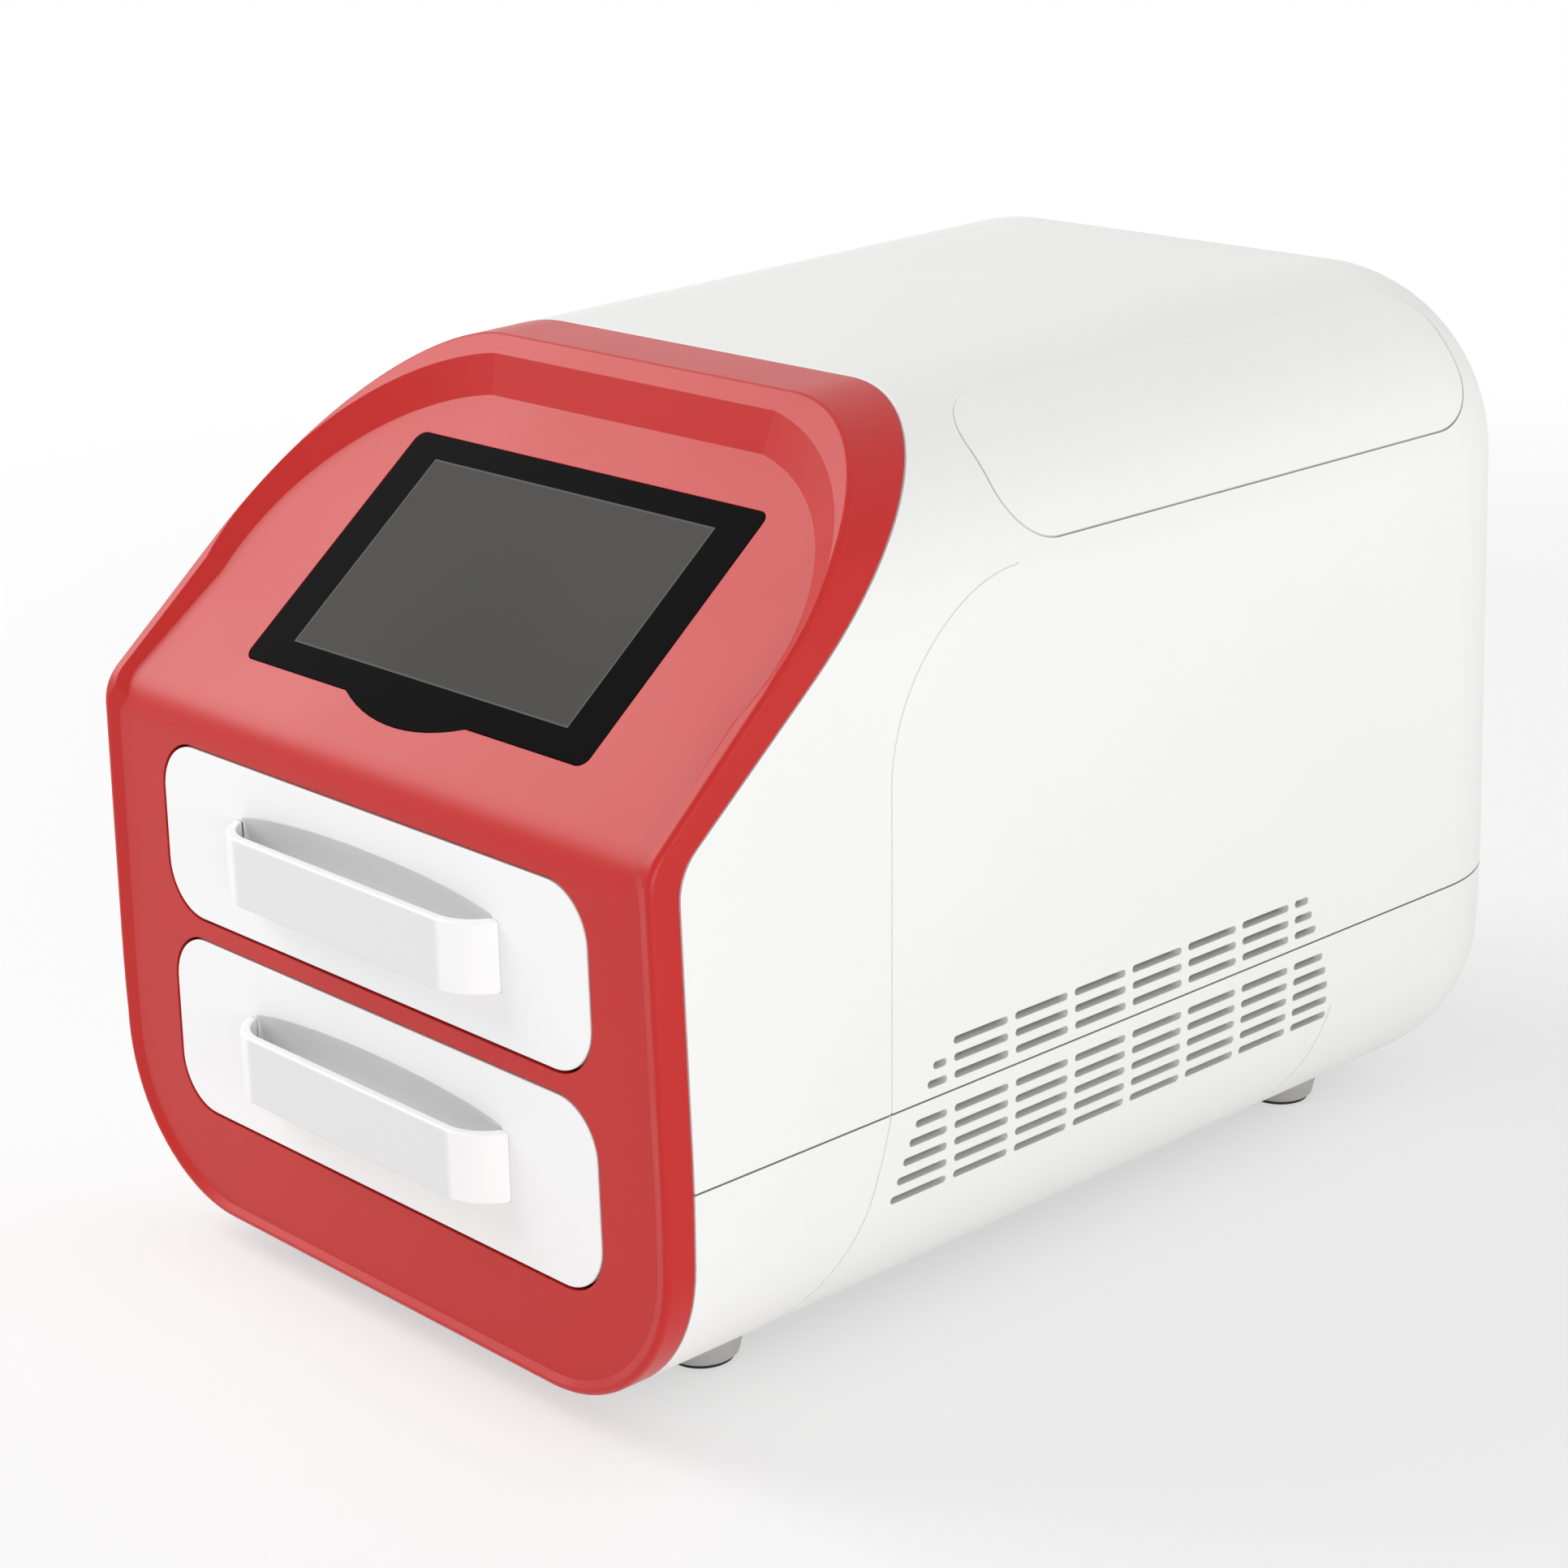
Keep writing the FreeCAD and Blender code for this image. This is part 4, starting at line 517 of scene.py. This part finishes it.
def circuit_board(name, tint):
    """Green solder mask over copper tracks, with rows of tinned pads."""
    sheet, into = new_finish(name, IOR=PLASTIC_IOR)
    place = sheet.place()
    tracks = sheet.node(
        "TexBrick", offset=0.5, squash=1.0, Scale=1.0, Mortar_Size=TRACK_GAP, Mortar_Smooth=0.1,
        Brick_Width=TRACK_LENGTH, Row_Height=TRACK_PITCH,
    )
    bends = sheet.noise(place, Scale=55.0, Detail=0.0)
    snapped = sheet.node("VectorMath", operation="SNAP")
    snapped.inputs[1].default_value = (0.25, 0.25, 0.25)
    sheet.link(bends.outputs["Color"], snapped.inputs[0])
    shifted = sheet.node("VectorMath", operation="MULTIPLY_ADD")
    sheet.link(snapped.outputs[0], shifted.inputs[0])
    shifted.inputs[1].default_value = TRACK_SHIFT
    sheet.link(place, shifted.inputs[2])
    sheet.link(shifted.outputs[0], tracks.inputs["Vector"])
    pads = sheet.node("TexVoronoi", feature="F1", Scale=PADS_PER_METRE, Randomness=0.0)
    sheet.link(place, pads.inputs["Vector"])
    pad = sheet.calc("LESS_THAN", pads.outputs["Distance"], PAD_RADIUS)
    patches = sheet.noise(place, Scale=42.0, Detail=0.0)
    patch = sheet.calc("GREATER_THAN", patches.outputs["Fac"], 0.60)
    tinned = sheet.calc("MULTIPLY", pad, patch)
    masked = sheet.mix(tracks.outputs["Fac"], tint, shaded(tint, 1.9))
    sheet.link(sheet.mix(tinned, masked, (0.62, 0.61, 0.58)), into["Base Color"])
    sheet.link(tinned, into["Metallic"])
    sheet.link(sheet.between(tracks.outputs["Fac"], 0.30, 0.42), into["Roughness"])
    bump(sheet, sheet.calc("ADD", tracks.outputs["Fac"], tinned), into, 0.03 * MM)


def printed_glass(name, border, display):
    """Screen glass with black print round the display, seen as one dark, polished face."""
    sheet, into = new_finish(name, IOR=1.05)
    place = sheet.place()
    flat = sheet.node("Mapping", vector_type="TEXTURE")
    flat.inputs["Location"].default_value = KNEE
    flat.inputs["Rotation"].default_value = (SLOPE, 0.0, 0.0)
    sheet.link(place, flat.inputs["Vector"])
    axes = sheet.axes(flat.outputs[0])
    across = sheet.calc("ABSOLUTE", axes["X"])
    middle = (DISPLAY_LOW + DISPLAY_HIGH) / 2
    up = sheet.calc("ABSOLUTE", sheet.calc("SUBTRACT", axes["Y"], middle))
    halves = ((across, DISPLAY_HALF_WIDTH), (up, (DISPLAY_HIGH - DISPLAY_LOW) / 2))

    def inside(near, far):
        """1 within the display less near, 0 beyond the display less far."""
        sides = [sheet.between(way, 1.0, 0.0, half - near, half - far) for way, half in halves]
        return sheet.calc("MULTIPLY", *sides)

    seen = inside(PRINT_SOFTNESS, -PRINT_SOFTNESS)
    inner = inside(DISPLAY_LINE[1], DISPLAY_LINE[0])
    cells = sheet.noise(place, Scale=9.0, Detail=1.0)
    clouded = sheet.between(cells.outputs["Fac"], 0.0, 1.0, *NOISE_SPAN)
    shade = sheet.mix(clouded, display, shaded(display, 0.82))
    edge = sheet.mix(inner, shaded(display, 1.45), shade)
    sheet.link(sheet.mix(seen, border, edge), into["Base Color"])
    smears = sheet.noise(place, Scale=60.0, Detail=3.0, Roughness=0.6)
    sheet.link(sheet.between(smears.outputs["Fac"], 0.05, 0.12, 0.35, 0.65), into["Roughness"])


def ribbon_cable(name):
    """Flat grey ribbon of parallel wires, with one marked edge wire, and painted shade between the
    wires.
    """
    sheet, into = new_finish(name, Roughness=0.45)
    across = sheet.axes(sheet.place())["X"]
    wave = sheet.calc("SINE", sheet.calc("MULTIPLY", across, 2 * math.pi / RIBBON_PITCH))
    wires = sheet.between(wave, 0.0, 1.0, -1.0, 1.0)
    marked = sheet.calc("GREATER_THAN", across, RIBBON_MARK)
    # Painted shade and highlight: the grey darkens in the hollows between the wires and lightens
    # on their crests, following the bump's wave.
    grey = sheet.mix(wires, (0.16, 0.165, 0.17), (0.36, 0.365, 0.37))
    sheet.link(sheet.mix(marked, grey, (0.36, 0.02, 0.02)), into["Base Color"])
    bump(sheet, wires, into, 0.2 * MM)


def make_finishes():
    tints = settings().colours
    moulded_plastic("bezel_red", tints.bezel, 0.34, depth=0.004 * MM, cloud=0.05, marks=0.04,
                    soft=settings().edges.bezel, ior=1.38)
    case_plastic("case_white", tints.case)
    moulded_plastic("panel_white", tints.panel, 0.40, grain=1100.0)
    moulded_plastic("drawer_white", tints.front, 0.40, grain=1300.0, depth=0.008 * MM)
    handle_plastic("handle_white", tints.handle, tints.handle_face_shade)
    moulded_plastic("foot_grey", tints.foot, 0.50, grain=900.0, depth=0.03 * MM)
    moulded_plastic("cassette_black", tints.cassette, 0.42, grain=1000.0, depth=0.03 * MM,
                    cloud=0.25)
    moulded_plastic("lid_grey", tints.lid, 0.45, grain=1000.0, depth=0.03 * MM, cloud=0.08)
    moulded_plastic("knob_red", tints.knob, 0.34, grain=1200.0, cloud=0.10, marks=0.2)
    moulded_plastic("insulator_black", (0.020, 0.020, 0.021), 0.5, depth=0.03 * MM, cloud=0.3)
    moulded_plastic("fan_black", (0.018, 0.018, 0.019), 0.42, depth=0.02 * MM, cloud=0.3)
    moulded_plastic("component_black", (0.024, 0.024, 0.025), 0.55, grain=2200.0,
                    depth=0.03 * MM, cloud=0.3)
    moulded_plastic("display_grey", (0.30, 0.31, 0.32), 0.3, cloud=0.1)
    rubber("pad_black", tints.pad)
    galvanised_steel("sheet_steel", (0.70, 0.71, 0.72))
    brushed_metal("slide_steel", (0.66, 0.67, 0.68), 0.30, stretch=(1.0, 0.02, 1.0))
    brushed_metal("screw_steel", (0.62, 0.62, 0.63), 0.28, fineness=1600.0)
    brushed_metal("sink_aluminium", (0.78, 0.79, 0.80), 0.36, stretch=(1.0, 0.02, 1.0))
    brushed_metal("supply_steel", (0.60, 0.61, 0.62), 0.38)
    brushed_metal("anode_metal", (0.50, 0.49, 0.47), 0.30, stretch=(1.0, 0.03, 1.0),
                  fineness=700.0)
    brushed_metal("cathode_steel", (0.70, 0.70, 0.70), 0.26, stretch=(0.03, 1.0, 1.0),
                  fineness=700.0)
    brushed_metal("contact_brass", (0.78, 0.56, 0.25), 0.26, fineness=1600.0)
    circuit_board("board_green", tints.board)
    ribbon_cable("ribbon_grey")
    printed_glass("screen_glass", tints.border, tints.display)


# ---------------------------------------------------------------- shapes


def welded(node):
    """A copy of a CAD node's mesh as one skin, its flat faces without needless edges."""
    form = bmesh.new()
    form.from_mesh(frame["nodes"][node].data)
    bmesh.ops.remove_doubles(form, verts=form.verts, dist=WELD)
    bmesh.ops.dissolve_limit(
        form, angle_limit=FLAT_TURN, verts=form.verts, edges=form.edges,
        use_dissolve_boundaries=False,
    )
    return form


def round_edges(form, width, steps):
    """Rounds the edges that turn by more than a slight curve does."""
    sharp = [
        edge for edge in form.edges
        if len(edge.link_faces) == 2 and edge.calc_face_angle(0.0) > ROUNDED_TURN
    ]
    bmesh.ops.bevel(
        form, geom=sharp, offset=width, offset_type="OFFSET", segments=steps, profile=0.5,
        affect="EDGES", clamp_overlap=False, loop_slide=True,
    )


def as_piece(form, name, body, finish):
    """Turns a form into an object that rides on a body, shaded smooth except at its corners."""
    mesh = bpy.data.meshes.new(name)
    form.to_mesh(mesh)
    form.free()
    for stale in ("custom_normal", "sharp_face", "sharp_edge"):
        if stale in mesh.attributes:
            mesh.attributes.remove(mesh.attributes[stale])
    mesh.shade_smooth()
    mesh.set_sharp_from_angle(angle=CREASED_TURN)
    mesh.materials.clear()
    mesh.materials.append(finishes[finish])
    piece = bpy.data.objects.new(name, mesh)
    bpy.context.scene.collection.objects.link(piece)
    weight = piece.modifiers.new("Even shading", "WEIGHTED_NORMAL")
    weight.keep_sharp = True
    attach(piece, body)
    return piece


def softened(node, name, finish, width):
    """A CAD node's shape with rounded edges, as a piece that stands for the node."""
    form = welded(node)
    round_edges(form, width, settings().edges.steps)
    piece = as_piece(form, name, frame["nodes"][node]["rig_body"], finish)
    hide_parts(node)


def finish_nodes(table):
    """Gives each finish to the CAD nodes that the table lists for it."""
    for finish, nodes in table.items():
        for node in nodes:
            mesh = frame["nodes"][node].data
            mesh.materials.clear()
            mesh.materials.append(finishes[finish])


# ---------------------------------------------------------------- operators


class BLOTTER_OT_finishes(bpy.types.Operator):
    """Make the materials of every piece"""

    bl_idname = "blotter.finishes"
    bl_label = "Make finishes"

    def execute(self, _context):
        make_finishes()
        return {"FINISHED"}


class BLOTTER_OT_bezel(bpy.types.Operator):
    """Finish the red front moulding"""

    bl_idname = "blotter.bezel"
    bl_label = "Finish bezel"

    def execute(self, _context):
        finish_nodes({"bezel_red": ("front_bezel",)})
        return {"FINISHED"}


class BLOTTER_OT_case(bpy.types.Operator):
    """Finish the white cover, base and shoulder panels"""

    bl_idname = "blotter.case"
    bl_label = "Finish case"

    def execute(self, _context):
        finish_nodes({
            "case_white": ("base_shell", "upper_shell"),
            "panel_white": ("left_shoulder_panel", "right_shoulder_panel"),
        })
        return {"FINISHED"}


class BLOTTER_OT_screen(bpy.types.Operator):
    """Build the screen glass and finish the display behind it"""

    bl_idname = "blotter.screen"
    bl_label = "Build screen"

    def execute(self, _context):
        edges = settings().edges
        softened("screen_glass", "screen_cover", "screen_glass", edges.glass)
        finish_nodes({
            "display_grey": ("display_module",),
            "board_green": ("display_board",),
            "ribbon_grey": ("display_ribbon",),
        })
        return {"FINISHED"}


class BLOTTER_OT_drawer_fronts(bpy.types.Operator):
    """Build both drawer fronts and their cup handles"""

    bl_idname = "blotter.drawer_fronts"
    bl_label = "Build drawer fronts"

    def execute(self, _context):
        edges = settings().edges
        for drawer in DRAWERS:
            softened(f"{drawer}_drawer_front", f"{drawer}_front_moulding", "drawer_white",
                     edges.front)
            softened(f"{drawer}_handle", f"{drawer}_handle_moulding", "handle_white",
                     edges.handle)
        return {"FINISHED"}


class BLOTTER_OT_cassettes(bpy.types.Operator):
    """Finish the transfer cassettes with their carriers, electrodes, lids and locks"""

    bl_idname = "blotter.cassettes"
    bl_label = "Finish cassettes"

    def execute(self, _context):
        for drawer in DRAWERS:
            finish_nodes({
                "sheet_steel": (f"{drawer}_carrier",),
                "slide_steel": (f"{drawer}_runners",),
                "cassette_black": (f"{drawer}_cassette_base",),
                "lid_grey": (f"{drawer}_cassette_lid",),
                "knob_red": (f"{drawer}_lock_knob",),
                "anode_metal": (f"{drawer}_anode",),
                "cathode_steel": (f"{drawer}_cathode",),
                "contact_brass": (f"{drawer}_contact_pins",),
            })
        return {"FINISHED"}


class BLOTTER_OT_inside(bpy.types.Operator):
    """Finish the chassis, the boards and the power supply"""

    bl_idname = "blotter.inside"
    bl_label = "Finish inside"

    def execute(self, _context):
        finish_nodes({
            "sheet_steel": ("chassis", "bay_divider", "contact_wall", "top_deck"),
            "slide_steel": ("drawer_rails",),
            "insulator_black": ("contact_blocks",),
            "board_green": ("main_board",),
            "component_black": ("board_parts",),
            "sink_aluminium": ("heat_sink",),
            "supply_steel": ("power_supply",),
            "screw_steel": ("board_screws", "case_screws", "frame_screws"),
        })
        return {"FINISHED"}


class BLOTTER_OT_rear(bpy.types.Operator):
    """Finish the rear panel with its fan, inlet, switch and data port"""

    bl_idname = "blotter.rear"
    bl_label = "Finish rear"

    def execute(self, _context):
        finish_nodes({
            "sheet_steel": ("rear_panel",),
            "screw_steel": ("rear_screws", "fan_guard"),
            "fan_black": ("fan_frame", "fan_rotor"),
            "insulator_black": ("mains_inlet", "switch_housing", "switch_rocker", "data_port"),
            "contact_brass": ("mains_inlet_pins",),
        })
        return {"FINISHED"}


class BLOTTER_OT_feet(bpy.types.Operator):
    """Finish the four feet and their pads"""

    bl_idname = "blotter.feet"
    bl_label = "Finish feet"

    def execute(self, _context):
        finish_nodes({
            "foot_grey": (
                "front_left_foot", "front_right_foot", "rear_left_foot", "rear_right_foot",
            ),
            "pad_black": ("foot_pads",),
        })
        return {"FINISHED"}


def soft_light(name, light, strength):
    """A large plain light that points at the object."""
    direction, distance, size = light
    lamp = bpy.data.lights.new(name, "AREA")
    lamp.shape = "RECTANGLE"
    lamp.size, lamp.size_y = size
    lamp.energy = strength
    made = bpy.data.objects.new(name, lamp)
    away = Vector(direction).normalized() * distance
    made.location = LIGHT_TARGET + away
    made.rotation_euler = (-away).to_track_quat("-Z", "Y").to_euler()
    bpy.context.scene.collection.objects.link(made)


def seen_rays(sheet):
    """1 for what the camera sees itself, in gloss or through glass, and 0 for light that falls
    on the object."""
    path = sheet.node("LightPath").outputs
    seen = sheet.calc("MAXIMUM", path["Is Camera Ray"], path["Is Glossy Ray"])
    return sheet.calc("MAXIMUM", seen, path["Is Transmission Ray"])


def set_up_camera(stage):
    scene = bpy.context.scene
    camera = bpy.data.cameras.new("Camera")
    camera.lens = stage.lens
    camera.sensor_width = SENSOR
    camera.clip_start, camera.clip_end = CLIP
    eye = bpy.data.objects.new("Camera", camera)
    eye.location = stage.camera_place
    eye.rotation_euler = Euler(stage.camera_turn)
    scene.collection.objects.link(eye)
    scene.camera = eye


def light_room(stage):
    """Two soft lights, and a room that lights the object evenly and is seen as plain white."""
    soft_light("Key light", KEY_LIGHT, stage.key)
    soft_light("Side light", SIDE_LIGHT, stage.fill)
    world = bpy.data.worlds.new("Room")
    bpy.context.scene.world = world
    world.use_nodes = True
    world.node_tree.nodes.clear()
    sheet = Sheet(world.node_tree)
    lit = sheet.node("Background", Color=WHITE, Strength=stage.room)
    white = sheet.node("Background", Color=WHITE, Strength=1.0)
    choice = sheet.node("MixShader")
    output = sheet.node("OutputWorld")
    sheet.link(seen_rays(sheet), choice.inputs[0])
    sheet.link(lit.outputs[0], choice.inputs[1])
    sheet.link(white.outputs[0], choice.inputs[2])
    sheet.link(choice.outputs[0], output.inputs["Surface"])


def floor_finish(stage):
    """Matt pale floor that fades to the white of the room away from the instrument."""
    sheet, into = new_finish("floor_pale", Roughness=0.9, Specular_IOR_Level=0.0)
    into["Base Color"].default_value = (*stage.floor, 1.0)
    away = sheet.node("VectorMath", operation="LENGTH")
    sheet.link(sheet.place(), away.inputs[0])
    fade = sheet.between(away.outputs["Value"], 0.0, 1.0, *FLOOR_FADE)
    glow = sheet.calc("MULTIPLY", seen_rays(sheet), stage.floor_glow)
    white = sheet.node("Emission", Color=WHITE, Strength=1.0)
    choice = sheet.node("MixShader")
    output = next(n for n in sheet.tree.nodes if n.type == "OUTPUT_MATERIAL")
    shader = next(n for n in sheet.tree.nodes if n.type == "BSDF_PRINCIPLED")
    sheet.link(sheet.calc("MAXIMUM", fade, glow), choice.inputs[0])
    sheet.link(shader.outputs[0], choice.inputs[1])
    sheet.link(white.outputs[0], choice.inputs[2])
    sheet.link(choice.outputs[0], output.inputs["Surface"])


def lay_floor(stage):
    floor_finish(stage)
    form = bmesh.new()
    bmesh.ops.create_circle(form, cap_ends=True, radius=FLOOR_RADIUS, segments=96)
    mesh = bpy.data.meshes.new("floor")
    form.to_mesh(mesh)
    form.free()
    floor = bpy.data.objects.new("floor", mesh)
    bpy.context.scene.collection.objects.link(floor)
    mesh.materials.append(finishes["floor_pale"])


class BLOTTER_OT_stage(bpy.types.Operator):
    """Set up the camera, the soft lights, the room and the pale floor"""

    bl_idname = "blotter.stage"
    bl_label = "Build stage"

    def execute(self, context):
        stage = settings().stage
        context.scene.view_settings.view_transform = "Standard"
        set_up_camera(stage)
        light_room(stage)
        lay_floor(stage)
        return {"FINISHED"}


class BLOTTER_PT_panel(bpy.types.Panel):
    """Building steps and settings of the blotter"""

    bl_idname = "BLOTTER_PT_panel"
    bl_label = "Semi-dry blotter"
    bl_space_type = "VIEW_3D"
    bl_region_type = "UI"
    bl_category = "Blotter"

    def draw(self, context):
        layout = self.layout
        for step in STEPS:
            layout.operator(step.bl_idname)
        blotter = context.scene.blotter
        for group in (blotter.colours, blotter.edges, blotter.stage):
            box = layout.box()
            for name in group.bl_rna.properties.keys():
                if name not in ("rna_type", "name"):
                    box.prop(group, name)


STEPS = (
    BLOTTER_OT_finishes,
    BLOTTER_OT_bezel,
    BLOTTER_OT_case,
    BLOTTER_OT_screen,
    BLOTTER_OT_drawer_fronts,
    BLOTTER_OT_cassettes,
    BLOTTER_OT_inside,
    BLOTTER_OT_rear,
    BLOTTER_OT_feet,
    BLOTTER_OT_stage,
)
SETTINGS = (BlotterColours, BlotterEdges, BlotterStage, BlotterSettings)
CLASSES = (*SETTINGS, *STEPS, BLOTTER_PT_panel)


def register():
    for item in CLASSES:
        bpy.utils.register_class(item)
    bpy.types.Scene.blotter = PointerProperty(
        type=BlotterSettings, name="Blotter", description="Sizes and colours of the blotter"
    )


def unregister():
    del bpy.types.Scene.blotter
    for item in reversed(CLASSES):
        bpy.utils.unregister_class(item)


def main():
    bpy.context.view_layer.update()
    register()
    bpy.ops.blotter.finishes()
    bpy.ops.blotter.bezel()
    bpy.ops.blotter.case()
    bpy.ops.blotter.screen()
    bpy.ops.blotter.drawer_fronts()
    bpy.ops.blotter.cassettes()
    bpy.ops.blotter.inside()
    bpy.ops.blotter.rear()
    bpy.ops.blotter.feet()
    bpy.ops.blotter.stage()


if __name__ == "__main__":
    main()
